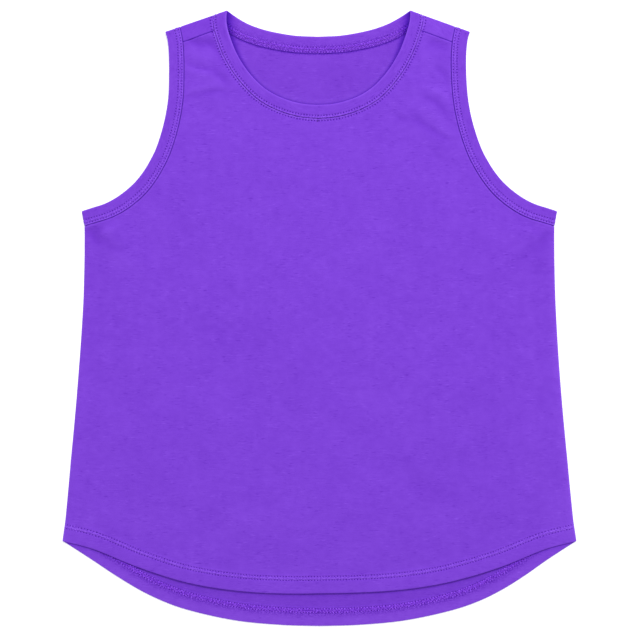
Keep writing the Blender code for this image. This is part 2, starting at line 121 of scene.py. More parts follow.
# Creases on top of those: uneven troughs (height below 0) and ridges, bent and lopsided.
Crease = namedtuple("Crease", "x y length width height heading bend skew")
FRONT_CREASES = (
    # viewer's left shoulder
    Crease(x=-119.0, y=280.0, length=34.0, width=4.0, height=-0.85, heading=172.0, bend=-4.0, skew=0.3),
    Crease(x=-103.0, y=273.0, length=20.0, width=3.6, height=-0.50, heading=128.0, bend=1.5, skew=0.2),
    Crease(x=-119.0, y=266.0, length=26.0, width=7.0, height=0.42, heading=168.0, bend=-2.5, skew=-0.2),
    Crease(x=-118.0, y=254.5, length=34.0, width=2.6, height=-0.46, heading=171.0, bend=-3.0, skew=0.3),
    Crease(x=-99.0, y=246.0, length=20.0, width=3.2, height=-0.62, heading=142.0, bend=1.5, skew=0.2),
    Crease(x=-116.0, y=247.5, length=32.0, width=4.6, height=0.42, heading=170.0, bend=-2.0, skew=0.0),
    Crease(x=-114.0, y=237.0, length=40.0, width=5.0, height=0.34, heading=8.0, bend=-3.0, skew=0.0),
    Crease(x=-112.0, y=230.5, length=48.0, width=2.6, height=-0.44, heading=7.0, bend=-2.5, skew=0.4),
    Crease(x=-128.0, y=205.0, length=34.0, width=7.0, height=0.20, heading=15.0, bend=-3.0, skew=0.0),
    # viewer's right shoulder
    Crease(x=123.0, y=280.0, length=22.0, width=4.0, height=-0.50, heading=165.0, bend=2.0, skew=-0.3),
    Crease(x=113.0, y=262.0, length=26.0, width=8.0, height=0.34, heading=120.0, bend=-2.0, skew=-0.3),
    Crease(x=128.0, y=249.0, length=26.0, width=3.6, height=-0.50, heading=128.0, bend=2.5, skew=0.3),
    Crease(x=125.0, y=229.0, length=30.0, width=4.2, height=0.46, heading=143.0, bend=3.0, skew=0.2),
    Crease(x=120.5, y=218.5, length=34.0, width=3.0, height=-0.52, heading=142.0, bend=3.5, skew=0.3),
    Crease(x=116.0, y=207.0, length=34.0, width=5.0, height=0.44, heading=136.0, bend=3.0, skew=0.0),
    Crease(x=89.0, y=203.0, length=26.0, width=3.2, height=-0.34, heading=168.0, bend=-2.0, skew=-0.3),
    Crease(x=116.0, y=192.0, length=52.0, width=3.4, height=-0.52, heading=148.0, bend=-2.5, skew=-0.3),
    Crease(x=136.0, y=184.0, length=30.0, width=6.0, height=0.26, heading=138.0, bend=2.0, skew=0.2),
    # under the arms and down the sides
    Crease(x=-230.0, y=85.0, length=20.0, width=5.0, height=-1.00, heading=132.0, bend=2.5, skew=0.35),
    Crease(x=-216.0, y=88.0, length=26.0, width=3.4, height=0.50, heading=26.0, bend=1.5, skew=0.0),
    Crease(x=-214.0, y=74.0, length=30.0, width=5.0, height=-0.34, heading=140.0, bend=-3.0, skew=0.2),
    Crease(x=-205.0, y=62.0, length=34.0, width=8.0, height=0.26, heading=140.0, bend=-3.0, skew=0.0),
    Crease(x=228.0, y=80.0, length=22.0, width=5.0, height=-0.55, heading=52.0, bend=-2.0, skew=0.2),
    Crease(x=217.0, y=86.0, length=22.0, width=3.6, height=0.36, heading=150.0, bend=1.5, skew=0.0),
    Crease(x=208.0, y=62.0, length=34.0, width=6.0, height=-0.30, heading=48.0, bend=3.0, skew=0.2),
    Crease(x=226.0, y=-8.0, length=190.0, width=7.0, height=-0.42, heading=92.5, bend=3.0, skew=0.4),
    Crease(x=-229.0, y=-40.0, length=170.0, width=8.0, height=-0.34, heading=87.0, bend=-3.0, skew=-0.3),
    Crease(x=238.0, y=-150.0, length=110.0, width=7.0, height=-0.26, heading=94.5, bend=-2.0, skew=0.3),
    Crease(x=-239.0, y=-165.0, length=100.0, width=7.0, height=-0.24, heading=85.5, bend=2.0, skew=-0.3),
    # soft, over the body
    Crease(x=-60.0, y=-205.0, length=70.0, width=11.0, height=0.20, heading=8.0, bend=5.0, skew=0.1),
    Crease(x=120.0, y=-178.0, length=60.0, width=12.0, height=-0.18, heading=170.0, bend=-6.0, skew=-0.1),
    Crease(x=30.0, y=60.0, length=80.0, width=14.0, height=0.18, heading=24.0, bend=7.0, skew=0.0),
    Crease(x=-90.0, y=-20.0, length=70.0, width=13.0, height=-0.17, heading=158.0, bend=-5.0, skew=0.2),
    Crease(x=-150.0, y=110.0, length=60.0, width=8.0, height=-0.16, heading=134.0, bend=4.0, skew=0.2),
    Crease(x=60.0, y=-90.0, length=90.0, width=12.0, height=0.16, heading=150.0, bend=-6.0, skew=0.1),
)
BACK_CREASES = (
    Crease(x=-205.0, y=66.0, length=38.0, width=7.0, height=0.20, heading=136.0, bend=3.0, skew=0.2),
    Crease(x=214.0, y=58.0, length=30.0, width=6.0, height=0.18, heading=44.0, bend=-2.5, skew=0.0),
    Crease(x=40.0, y=170.0, length=70.0, width=10.0, height=0.15, heading=12.0, bend=5.0, skew=0.1),
    Crease(x=-90.0, y=-120.0, length=90.0, width=12.0, height=0.17, heading=172.0, bend=-6.0, skew=0.0),
    Crease(x=120.0, y=-60.0, length=60.0, width=9.0, height=0.14, heading=150.0, bend=4.0, skew=0.3),
)


# ---------------------------------------------------------------- outlines
def evenly(curve, count):
    steps = np.linalg.norm(np.diff(curve, axis=0), axis=1)
    along = np.concatenate([[0.0], np.cumsum(steps)])
    at = np.linspace(0.0, along[-1], count)
    return np.column_stack([np.interp(at, along, curve[:, i]) for i in range(curve.shape[1])])


def through(points, count):
    """Smooth curve through the points, resampled to count evenly spaced points."""
    rows = np.array(points, dtype=float)
    rows = np.vstack([2 * rows[0] - rows[1], rows, 2 * rows[-1] - rows[-2]])
    fine = []
    for i in range(1, len(rows) - 2):
        p0, p1, p2, p3 = rows[i - 1:i + 3]
        t0, t1 = 0.0, math.sqrt(np.linalg.norm(p1 - p0))
        t2 = t1 + math.sqrt(np.linalg.norm(p2 - p1))
        t3 = t2 + math.sqrt(np.linalg.norm(p3 - p2))
        for t in np.linspace(t1, t2, 24, endpoint=False):
            a1 = (t1 - t) / (t1 - t0) * p0 + (t - t0) / (t1 - t0) * p1
            a2 = (t2 - t) / (t2 - t1) * p1 + (t - t1) / (t2 - t1) * p2
            a3 = (t3 - t) / (t3 - t2) * p2 + (t - t2) / (t3 - t2) * p3
            b1 = (t2 - t) / (t2 - t0) * a1 + (t - t0) / (t2 - t0) * a2
            b2 = (t3 - t) / (t3 - t1) * a2 + (t - t1) / (t3 - t1) * a3
            fine.append((t2 - t) / (t2 - t1) * b1 + (t - t1) / (t2 - t1) * b2)
    fine.append(rows[-2])
    return evenly(np.array(fine), count)


def offset(curve, distance):
    """The curve moved sideways, to the right of its direction."""
    run = np.gradient(curve, axis=0)
    run /= np.linalg.norm(run, axis=1)[:, None]
    return curve + distance * np.column_stack([run[:, 1], -run[:, 0]])


def side_seam(count):
    down = np.linspace(0.0, 1.0, count)
    y = UNDERARM.y + (HEM_CORNER.y - UNDERARM.y) * down
    x = UNDERARM.x + (HEM_CORNER.x - UNDERARM.x) * down ** FLARE_POWER
    return np.column_stack([x + np.interp(y, *SIDE_EASE), y])


SHOULDER_RUN = np.array(SHOULDER_POINT) - np.array(NECK_POINT)
SHOULDER_RUN /= np.linalg.norm(SHOULDER_RUN)
SHOULDER_OUT = np.array([-SHOULDER_RUN[1], SHOULDER_RUN[0]])


def on_shoulder(x):
    step = (x - NECK_POINT.x) / SHOULDER_RUN[0]
    return np.array(NECK_POINT) + step * SHOULDER_RUN


# How much narrower the neck band is, by share of the way from the shoulder to the centre, mm.
NECK_EASE = ((0.0, 0.08, 0.16, 0.32, 0.50, 0.62, 0.72, 0.86, 1.0),
             (0.0, 0.2, 0.65, 0.95, 0.95, 0.65, 0.60, 0.40, 0.1))


def seam_of(edge, width, top, bottom=None, ease=None):
    """Seam line of a band: its edge moved in by the band's width, with its ends placed."""
    share = np.linspace(0.0, 1.0, len(edge))
    seam = offset(edge, width)
    if bottom is not None:      # the armhole band is a little wider under the arm
        wide = width + 0.7 * np.exp(-((share - 0.80) / 0.15) ** 2) - 0.1
        seam = edge + (seam - edge) * (wide / width)[:, None]
    if ease is not None:
        seam = edge + (seam - edge) * (1.0 - np.interp(share, *ease) / abs(width))[:, None]
    keep = seam[seam[:, 1] < top[1] - 4.0]
    if bottom is None:
        return evenly(np.vstack([top, keep]), len(edge))
    keep = keep[np.linalg.norm(keep - bottom, axis=1) > 6.0]
    return evenly(np.vstack([top, keep, bottom]), len(edge))


ARM_SEAM_TOP = on_shoulder(SHOULDER_POINT.x - ARMHOLE_BAND_WIDTH * SHOULDER_RUN[0] - 0.6)
NECK_SEAM_TOP = on_shoulder(NECK_POINT.x + NECK_BAND_WIDTH * SHOULDER_RUN[0])
ARM_EDGE = through(ARMHOLE_EDGE, 260)
ARM_SEAM = evenly(seam_of(through(ARMHOLE_EDGE, 90), ARMHOLE_BAND_WIDTH, ARM_SEAM_TOP,
                          np.array(UNDERARM)), 260)
NECK_EDGE = through(FRONT_NECK_EDGE, 230)
NECK_SEAM = seam_of(through(FRONT_NECK_EDGE, 90), -NECK_BAND_WIDTH, NECK_SEAM_TOP, ease=NECK_EASE)
NECK_SEAM[-1, 0] = 0.0
NECK_SEAM = evenly(NECK_SEAM, 230)
BACK_EDGE = through(BACK_NECK_EDGE, 150)
BACK_SEAM = seam_of(through(BACK_NECK_EDGE, 90), -NECK_BAND_WIDTH, NECK_SEAM_TOP)
BACK_SEAM[-1, 0] = 0.0
BACK_SEAM = evenly(BACK_SEAM, 150)


def nearest(curve, x, y, mirror=True):
    """Distance from each point to a line of points, and how far along it the nearest place is."""
    p = np.column_stack([np.abs(x) if mirror else x, y])
    best = np.full(len(p), 1e18)
    along = np.zeros(len(p))
    run = 0.0
    for a, b in zip(curve[:-1], curve[1:]):
        ab = b - a
        length2 = ab @ ab
        if length2 < 1e-12:
            continue
        t = np.clip(((p - a) @ ab) / length2, 0.0, 1.0)
        d = ((p - a - t[:, None] * ab) ** 2).sum(1)
        nearer = d < best
        best = np.where(nearer, d, best)
        along = np.where(nearer, run + t * math.sqrt(length2), along)
        run += math.sqrt(length2)
    return np.sqrt(best), along


def step(low, high, value):
    t = np.clip((value - low) / (high - low), 0.0, 1.0)
    return t * t * (3.0 - 2.0 * t)


def tilted(x):
    return np.interp(x, *np.array(TILT).T)


def bell(value, middle, width):
    return np.exp(-((value - middle) / width) ** 2)


# ---------------------------------------------------------------- relief
SIDE_LINE = side_seam(12)
HEM_LINE = through(FRONT_HEM, 12)
ARM_LINE = np.vstack([np.array(NECK_POINT), through(ARMHOLE_EDGE, 20)])


def crease_height(creases, x, y):
    z = np.zeros(len(x))
    for c in creases:
        cos, sin = math.cos(math.radians(c.heading)), math.sin(math.radians(c.heading))
        along = (x - c.x) * cos + (y - c.y) * sin
        s = along / (c.length / 2)
        across = -(x - c.x) * sin + (y - c.y) * cos - c.bend * s * s
        w = across / c.width
        w = w * (1.0 + c.skew * np.tanh(w))
        z += c.height * np.exp(-w * w) * np.exp(-np.abs(s) ** 2.6)
    return z


def painted_crease_shading(height, dark=0.20, painted_highlight=0.12):
    """Tone of cloth in a crease, as painted light: painted shade darker down in a trough, painted highlight
    lighter along a ridge.
    """
    return 1.0 + dark * np.tanh(np.minimum(height, 0.0) / 0.6) + painted_highlight * np.tanh(np.maximum(height, 0.0) / 0.6)


def ripples(x, y, seed, short, long, count):
    """Sum of long crossing waves, the same on every run; its spread is about 1."""
    rng = np.random.RandomState(seed)
    warp = 6.0 * np.sin(x / 61.0 + 1.3) * np.cos(y / 47.0)
    z = np.zeros(len(x))
    for _ in range(count):
        wave = math.exp(rng.uniform(math.log(short), math.log(long)))
        angle, phase = rng.uniform(0, math.pi), rng.uniform(0, 2 * math.pi)
        z += np.sin(2 * math.pi * ((x + warp) * math.cos(angle) + (y - warp) * math.sin(angle))
                    / wave + phase)
    return z / math.sqrt(count / 2)


def puckers(along, seed, short=5.0, long=19.0, count=9):
    """Uneven gathering along a row of stitches."""
    rng = np.random.RandomState(seed)
    z = np.zeros(len(along))
    for _ in range(count):
        wave = math.exp(rng.uniform(math.log(short), math.log(long)))
        z += np.sin(2 * math.pi * along / wave + rng.uniform(0, 2 * math.pi))
    return z / math.sqrt(count / 2)


def front_height(x, y):
    """Mid-surface of the front, as the construction has it."""
    rise = 1.0 - np.exp(-nearest(SIDE_LINE, x, y)[0] / 18.0)
    rise *= 0.35 + 0.65 * (1.0 - np.exp(-nearest(HEM_LINE, x, y)[0] / 25.0))
    arm = nearest(ARM_LINE, x, y)[0]
    rise *= 0.45 + 0.55 * (1.0 - np.exp(-arm / 20.0))
    z = EDGE_RISE + CROWN * rise
    for f in FRONT_FOLDS:
        c, s = math.cos(math.radians(f.heading)), math.sin(math.radians(f.heading))
        along = (x - f.x) * c + (y - f.y) * s
        across = -(x - f.x) * s + (y - f.y) * c
        z = z + (f.height * np.exp(-(across / (f.width / 2)) ** 2)
                 * np.exp(-(along / (f.length / 2)) ** 4) * np.clip(arm / 30.0, 0.0, 1.0))
    return z


def carried_on(curve, by=12.0):
    """The line with its last run made longer, so that rows beside it reach the side edge."""
    run = curve[-1] - curve[-4]
    return np.vstack([curve, curve[-1] + run / np.linalg.norm(run) * by])


SIDE_FINE = side_seam(60)
HEM_FINE = carried_on(through(FRONT_HEM, 90))
BACK_HEM_FINE = carried_on(through(BACK_HEM, 90))
FAR = 40.0             # for places with no row, seam or edge beside them


def rows_place(d, rows):
    """Distance from the middle of two rows, where each row is at 1."""
    return (d - sum(rows) / 2) / ((rows[1] - rows[0]) / 2)


SHOULDER_SEAM_LINE = np.array([SHOULDER_SEAM_NECK, SHOULDER_SEAM_ARM], dtype=float)


def front_shape(x, y):
    """Middle, top and underside of the front, and what its cloth needs to know of the seams."""
    d_hem, u_hem = nearest(HEM_FINE, x, y)
    d_side, _ = nearest(SIDE_FINE, x, y)
    d_neck, u_neck = nearest(NECK_SEAM, x, y)
    d_arm, u_arm = nearest(ARM_SEAM, x, y)
    d_shoulder, _ = nearest(SHOULDER_SEAM_LINE, x, y)
    sign = np.where(x < 0, -1.0, 1.0)
    u_hem, u_neck = u_hem * sign, u_neck * sign
    still = step(0.0, 26.0, np.minimum.reduce([d_side, d_hem, d_neck, d_arm]))
    mid = front_height(x, y)
    mid += 0.26 * ripples(x, y, 11, 70.0, 190.0, 16) * (0.25 + 0.75 * still)
    mid += 0.085 * ripples(x, y, 12, 20.0, 46.0, 22) * (0.4 + 0.6 * still)
    crease = crease_height(FRONT_CREASES, x, y) * step(0.5, 5.0, np.minimum(d_neck, d_arm))
    mid += 1.35 * crease
    # side seam: the front comes down on the back, with its allowance making a low ridge inside
    mid -= 0.40 * np.exp(-(d_side / 2.6) ** 2)
    mid += 0.30 * step(0.8, 2.4, d_side) * (1.0 - step(6.2, 8.6, d_side))
    # gathering along the seams
    mid += 0.11 * puckers(u_hem, 21) * bell(d_hem, 15.2, 7.0)
    mid += 0.10 * puckers(u_neck, 22) * np.exp(-d_neck / 5.0)
    mid += 0.10 * puckers(u_arm * sign, 23) * np.exp(-d_arm / 5.0)
    mid = np.maximum(mid, 1.42)
    top = np.full(len(x), CLOTH / 2)
    # hem: doubled cloth, two sunk rows with a ridge between, a soft step at the raw edge inside
    doubled = 1.0 - step(TURN_UP + 0.2, TURN_UP + 2.2, d_hem)
    top += 0.42 * doubled
    top -= 0.34 * (bell(d_hem, HEM_ROWS[0], 0.62) + bell(d_hem, HEM_ROWS[1], 0.62))
    top += 0.22 * bell(d_hem, sum(HEM_ROWS) / 2, 1.0)
    top -= 0.16 * bell(d_hem, 0.0, 1.1)
    # neck: sunk at the seam, one row on the body, a little ridge between them
    top -= 0.10 * np.exp(-(d_neck / 0.7) ** 2)
    top -= 0.30 * bell(d_neck, BAND_ROW_NECK, 0.58)
    top += 0.22 * bell(d_neck, 1.45, 0.55)
    top -= 0.34 * np.exp(-(d_arm / 0.6) ** 2)
    top += 0.16 * bell(d_arm, 1.7, 0.9)
    top -= 0.42 * np.exp(-(d_shoulder / 0.7) ** 2)
    top += 0.18 * bell(d_shoulder, 1.8, 0.9)
    under = np.full(len(x), -CLOTH / 2)
    under -= 0.20 * doubled
    seam = np.column_stack([np.zeros(len(x)), np.full(len(x), FAR), np.zeros(len(x))])
    near = d_hem < 23.0
    # its third column is a painted highlight on the ridge between the hem rows
    seam[near] = np.column_stack([u_hem, rows_place(d_hem, HEM_ROWS), np.full(len(x), 0.16)])[near]
    near = d_neck < 9.0
    seam[near] = np.column_stack([u_neck, d_neck / BAND_ROW_NECK, np.zeros(len(x))])[near]
    # painted highlight on the rim of the front's edges, stronger on the +X side
    rim_highlight = np.where(x > 0, 0.14, 0.07)
    lines = np.column_stack([np.minimum.reduce([d_neck, d_arm, d_shoulder]), d_side, rim_highlight])
    amount, ridge = seam_kind(x, d_neck, d_arm, d_shoulder)
    # painted highlight along the side edge, stronger and wider on the +X side
    painted_highlight = np.where(x > 0, 0.065 * np.exp(-(d_side / 6.5) ** 2), 0.02 * np.exp(-(d_side / 3.0) ** 2))
    side = step(12.0, 45.0, d_side) + 0.35 * (1.0 - step(12.0, 45.0, d_side)) * step(-60.0, 40.0, -y)
    side = np.where(y > 45.0, 1.0, side)
    # painted shade and highlight of the creases, weaker near the lower sides; 2% lighter on the doubled hem;
    # the painted side highlight
    tone = (1.0 + (painted_crease_shading(crease) - 1.0) * side) * (1.0 + 0.02 * doubled) * (1.0 + painted_highlight)
    # painted light: lighter near the side edges, below the chest
    tone += 0.045 * (1.0 - step(8.0, 46.0, d_side)) * step(-40.0, 60.0, -y)
    # painted shade in the seam lines
    corner = np.column_stack([np.full(len(x), FAR), np.zeros(len(x)), amount])
    relief = np.column_stack([ridge, tone, np.zeros(len(x))])
    return mid, top, under, {"seam": seam, "lines": lines, "corner": corner, "relief": relief}


def seam_kind(x, d_neck, d_arm, d_shoulder):
    """Strength of the painted shade in the nearest seam line (below 0, a slight painted light, at the neck) and
    of the painted highlight on the ridge beside it, on the body side; both differ from side to side as the
    light falls.
    """
    neck = d_neck < np.minimum(d_arm, d_shoulder)
    arm = ~neck & (d_arm < d_shoulder)
    amount = np.where(neck, -0.04, np.where(arm, np.where(x < 0, 0.34, 0.46), 0.42))
    return amount, np.where(neck, np.where(x < 0, 0.28, 0.16), np.where(arm, 0.08, 0.07))


# ---------------------------------------------------------------- triangles
def outward(loop):
    """Unit vectors out of a closed outline that runs anticlockwise."""
    run = np.roll(loop, -1, axis=0) - np.roll(loop, 1, axis=0)
    run /= np.maximum(np.linalg.norm(run, axis=1), 1e-9)[:, None]
    return np.column_stack([run[:, 1], -run[:, 0]])


def spaced(curve, spacing):
    length = np.linalg.norm(np.diff(curve, axis=0), axis=1).sum()
    return evenly(curve, max(3, int(round(length / spacing)) + 1))


def fill_half(outline, sections, spacing):
    """Triangles over half a panel, from the centre line out.

    outline runs anticlockwise from the centre of the hem to the centre of the neck; sections
    are (curve, depths, spacing), each curve with the panel on its left.
    """
    full = np.vstack([outline, outline[-2:0:-1] * [-1.0, 1.0]])
    inset = (full - RIM * outward(full))[:len(outline)]
    inset[0, 0] = inset[-1, 0] = 0.0
    top, low = inset[-1, 1], inset[0, 1]
    centre = np.column_stack([np.zeros(int((top - low) / spacing)),
                              np.linspace(top, low, int((top - low) / spacing) + 2)[1:-1]])
    loop = np.vstack([inset, centre])
    inner = []
    deepest = 0.0
    for curve, depths, gap in sections:
        for depth in depths:
            row = offset(spaced(curve, gap), -depth)
            keep = np.ones(len(row), dtype=bool)
            keep &= row[:, 0] > 0.7
            keep &= nearest(outline, row[:, 0], row[:, 1])[0] > depth - 0.06
            inner.append(row[keep])
        deepest = max(deepest, max(depths))
    rows = np.vstack(inner)
    span_x, span_y = inset[:, 0].max(), (low - 5.0, inset[:, 1].max() + 5.0)
    high = spacing * math.sqrt(3) / 2
    grid = []
    for k, y in enumerate(np.arange(span_y[0], span_y[1], high)):
        x = np.arange(spacing * (1.0 if k % 2 else 0.55), span_x, spacing)
        grid.append(np.column_stack([x, np.full(len(x), y)]))
    grid = np.vstack(grid)
    keep = inside(loop, grid)
    for curve, depths, gap in sections:
        keep &= nearest(curve, grid[:, 0], grid[:, 1])[0] > max(depths) + spacing * 0.55
    points = np.vstack([loop, rows, grid[keep]])
    keep = np.ones(len(points), dtype=bool)
    keep[len(loop):] = inside(loop, points[len(loop):])
    points = points[keep]
    count = len(loop)
    out = delaunay_2d_cdt([Vector(p) for p in points],
                          [(i, (i + 1) % count) for i in range(count)], [], 1, 1e-4)
    verts = np.array([tuple(v) for v in out[0]])
    faces = np.array([f for f in out[2] if len(f) == 3])
    a, b, c = verts[faces[:, 0]], verts[faces[:, 1]], verts[faces[:, 2]]
    area = (b[:, 0] - a[:, 0]) * (c[:, 1] - a[:, 1]) - (b[:, 1] - a[:, 1]) * (c[:, 0] - a[:, 0])
    faces[area < 0] = faces[area < 0][:, ::-1]
    # the other half, sharing the points of the centre line
    middle = np.abs(verts[:, 0]) < 1e-3
    verts[middle, 0] = 0.0
    other = np.where(middle, np.arange(len(verts)), 0)
    other[~middle] = len(verts) + np.arange((~middle).sum())
    verts2 = np.vstack([verts, verts[~middle] * [-1.0, 1.0]])
    faces2 = np.vstack([faces, other[faces][:, ::-1]])
    return verts2, faces2


def inside(loop, points):
    """Which points lie inside a closed outline."""
    x, y = points[:, 0], points[:, 1]
    hit = np.zeros(len(points), dtype=bool)
    for (x0, y0), (x1, y1) in zip(loop, np.roll(loop, -1, axis=0)):
        if y0 == y1:
            continue
        cross = ((y0 > y) != (y1 > y)) & (x < (x1 - x0) * (y - y0) / (y1 - y0) + x0)
        hit ^= cross
    return hit


def border(faces):
    """The open edges of the triangles, as one ring of points in order."""
    edges = np.vstack([faces[:, [0, 1]], faces[:, [1, 2]], faces[:, [2, 0]]])
    key = {tuple(e) for e in edges.tolist()}
    after = {a: b for a, b in key if (b, a) not in key}
    start = next(iter(after))
    ring = [start]
    while after[ring[-1]] != start:
        ring.append(after[ring[-1]])
    return np.array(ring)


# ---------------------------------------------------------------- objects
def add_object(name, verts, faces, materials, attributes, index=None):
    """verts in mm; faces an array of triangles or quads. Nothing goes under the surface."""
    verts = np.array(verts, dtype=float)
    if name != "studio_floor":
        verts[:, 2] = np.maximum(verts[:, 2], 0.0)
        lean = np.array(LEAN)[::-1]
        if name.startswith("front"):
            verts[:, 1] += tilted(verts[:, 0]) * step(-170.0, -215.0, verts[:, 1])
        verts[:, 0] += np.interp(verts[:, 1], lean[:, 0], lean[:, 1])
    mesh = bpy.data.meshes.new(name)
    faces = np.asarray(faces)
    sides = faces.shape[1]
    mesh.vertices.add(len(verts))
    mesh.vertices.foreach_set("co", (np.asarray(verts) * MM).astype(np.float32).ravel())
    mesh.loops.add(faces.size)
    mesh.loops.foreach_set("vertex_index", faces.astype(np.int32).ravel())
    mesh.polygons.add(len(faces))
    mesh.polygons.foreach_set("loop_start", np.arange(0, faces.size, sides, dtype=np.int32))
    for mat in materials:
        mesh.materials.append(mat)
    if index is not None:
        mesh.polygons.foreach_set("material_index", np.asarray(index, dtype=np.int32))
    for key, values in attributes.items():
        att = mesh.attributes.new(key, "FLOAT_VECTOR", "POINT")
        att.data.foreach_set("vector", np.asarray(values, dtype=np.float32).ravel())
    mesh.update(calc_edges=True)
    mesh.validate()
    mesh.shade_smooth()
    obj = bpy.data.objects.new(name, mesh)
    bpy.context.scene.collection.objects.link(obj)
    return obj


def shell(name, faces, over, under, out, places, materials):
    """A closed sheet: two faces joined by a rounded rim.

    out holds the rim's directions; places maps each attribute to its values on the two faces.
    """
    ring = border(faces)
    count = len(over)
    verts, rows = [over, under], [ring]
    held = {key: [values[0], values[1]] for key, values in places.items()}
    middle, half = (over[ring] + under[ring]) / 2, (over[ring] - under[ring]) / 2
    base = 2 * count
    for angle in (52.0, 18.0, -18.0, -52.0):
        a = math.radians(angle)
        verts.append(middle + half * math.sin(a) + out * RIM * math.cos(a))
        for key, values in places.items():
            held[key].append(values[0 if angle > 0 else 1][ring])
        rows.append(base + np.arange(len(ring)))
        base += len(ring)
    rows.append(count + ring)
    all_faces = [faces, count + faces[:, ::-1]]
    index = [np.zeros(len(faces)), np.ones(len(faces))]
    for upper, lower in zip(rows[:-1], rows[1:]):
        nu, nl = np.roll(upper, -1), np.roll(lower, -1)
        all_faces += [np.column_stack([upper, lower, nl]), np.column_stack([upper, nl, nu])]
        index += [np.zeros(len(ring)), np.zeros(len(ring))]
    return add_object(name, np.vstack(verts), np.vstack(all_faces), materials,
                      {key: np.vstack(rows) for key, rows in held.items()}, np.concatenate(index))


# ---------------------------------------------------------------- materials
def nodes_of(mat):
    mat.use_nodes = True
    tree = mat.node_tree
    tree.nodes.clear()
    return tree


class Graph:
    """Short names for the nodes of one material."""

    def __init__(self, tree):
        self.tree = tree

    def node(self, kind, **settings):
        n = self.tree.nodes.new(kind)
        for key, value in settings.items():
            setattr(n, key, value)
        return n

    def put(self, socket, value):
        if isinstance(value, bpy.types.NodeSocket):
            self.tree.links.new(value, socket)
        else:
            socket.default_value = value

    def math(self, kind, a, b=0.0, c=0.0):
        n = self.node("ShaderNodeMath", operation=kind)
        for socket, value in zip(n.inputs, (a, b, c)):
            self.put(socket, value)
        return n.outputs[0]

    def scaled(self, vector, x, y, z=1.0):
        n = self.node("ShaderNodeVectorMath", operation="MULTIPLY")
        self.put(n.inputs[0], vector)
        n.inputs[1].default_value = (x, y, z)
        return n.outputs[0]

    def noise(self, vector, scale=1.0, detail=2.0, rough=0.5):
        n = self.node("ShaderNodeTexNoise", noise_dimensions="3D")
        self.put(n.inputs["Vector"], vector)
        n.inputs["Scale"].default_value = scale
        n.inputs["Detail"].default_value = detail
        n.inputs["Roughness"].default_value = rough
        return n.outputs[0]

    def ramp(self, value, low, high):
        n = self.node("ShaderNodeMapRange", interpolation_type="SMOOTHSTEP")
        self.put(n.inputs["Value"], value)
        n.inputs["From Min"].default_value = low
        n.inputs["From Max"].default_value = high
        return n.outputs[0]

    def bell(self, value, middle, width):
        off = self.math("MULTIPLY", self.math("SUBTRACT", value, middle), 1.0 / width)
        return self.math("EXPONENT", self.math("MULTIPLY", self.math("MULTIPLY", off, off), -1.0))

    def times(self, *values):
        total = values[0]
        for value in values[1:]:
            total = self.math("MULTIPLY", total, value)
        return total

    def swing(self, value, amount):
        """1 plus or minus amount, from a texture that runs about 0.5."""
        return self.math("MULTIPLY_ADD", value, 2.0 * amount, 1.0 - amount)


def speckle(g, place):
    """Light and dark flecks about a stitch wide, where threads cross on the inside."""
    coarse = g.noise(g.scaled(place, 0.60, 0.66, 1.0), 1.0, 1.0, 0.5)
    return g.math("MULTIPLY_ADD", g.ramp(coarse, 0.34, 0.66), 1.30, -0.67)


def attribute(g, name):
    n = g.node("ShaderNodeAttribute", attribute_type="GEOMETRY", attribute_name=name)
    return n.outputs["Vector"]


def parts_of(g, vector):
    n = g.node("ShaderNodeSeparateXYZ")
    g.put(n.inputs[0], vector)
    return n.outputs


def finish_shader(g, colour, factor, roughness, height, distance, sheen, tint, glow=0.0,
                  powers=(1.0, 1.7, 0.64), specular=0.04, dim=None):
    # painted shade: where the colour is darker it is also made bluer and less green,
    # as light going from cloth to cloth would make it; most so in the painted shade of corners and seam lines,
    # given by dim
    shift = g.node("ShaderNodeCombineXYZ")
    for socket, value, power, deeper in zip(shift.inputs, colour, powers, (1.0, 1.6, 0.40)):
        part = g.math("MULTIPLY", g.math("POWER", g.math("MAXIMUM", factor, 0.05), power), value)
        if dim is not None:
            part = g.math("MULTIPLY", part, g.math("POWER", dim, deeper))
        g.put(socket, part)
    shader = g.node("ShaderNodeBsdfPrincipled")
    g.put(shader.inputs["Base Color"], shift.outputs[0])
    g.put(shader.inputs["Roughness"], roughness)
    shader.inputs["Specular IOR Level"].default_value = specular
    shader.inputs["Sheen Weight"].default_value = sheen
    shader.inputs["Sheen Roughness"].default_value = 0.5
    shader.inputs["Sheen Tint"].default_value = (*tint, 1.0)
    if glow:
        shader.inputs["Emission Color"].default_value = (1.0, 1.0, 1.0, 1.0)
        shader.inputs["Emission Strength"].default_value = glow
    bump = g.node("ShaderNodeBump")
    bump.inputs["Strength"].default_value = 1.0
    bump.inputs["Distance"].default_value = distance
    g.put(bump.inputs["Height"], height)
    g.put(shader.inputs["Normal"], bump.outputs[0])
    out = g.node("ShaderNodeOutputMaterial")
    g.tree.links.new(shader.outputs[0], out.inputs[0])


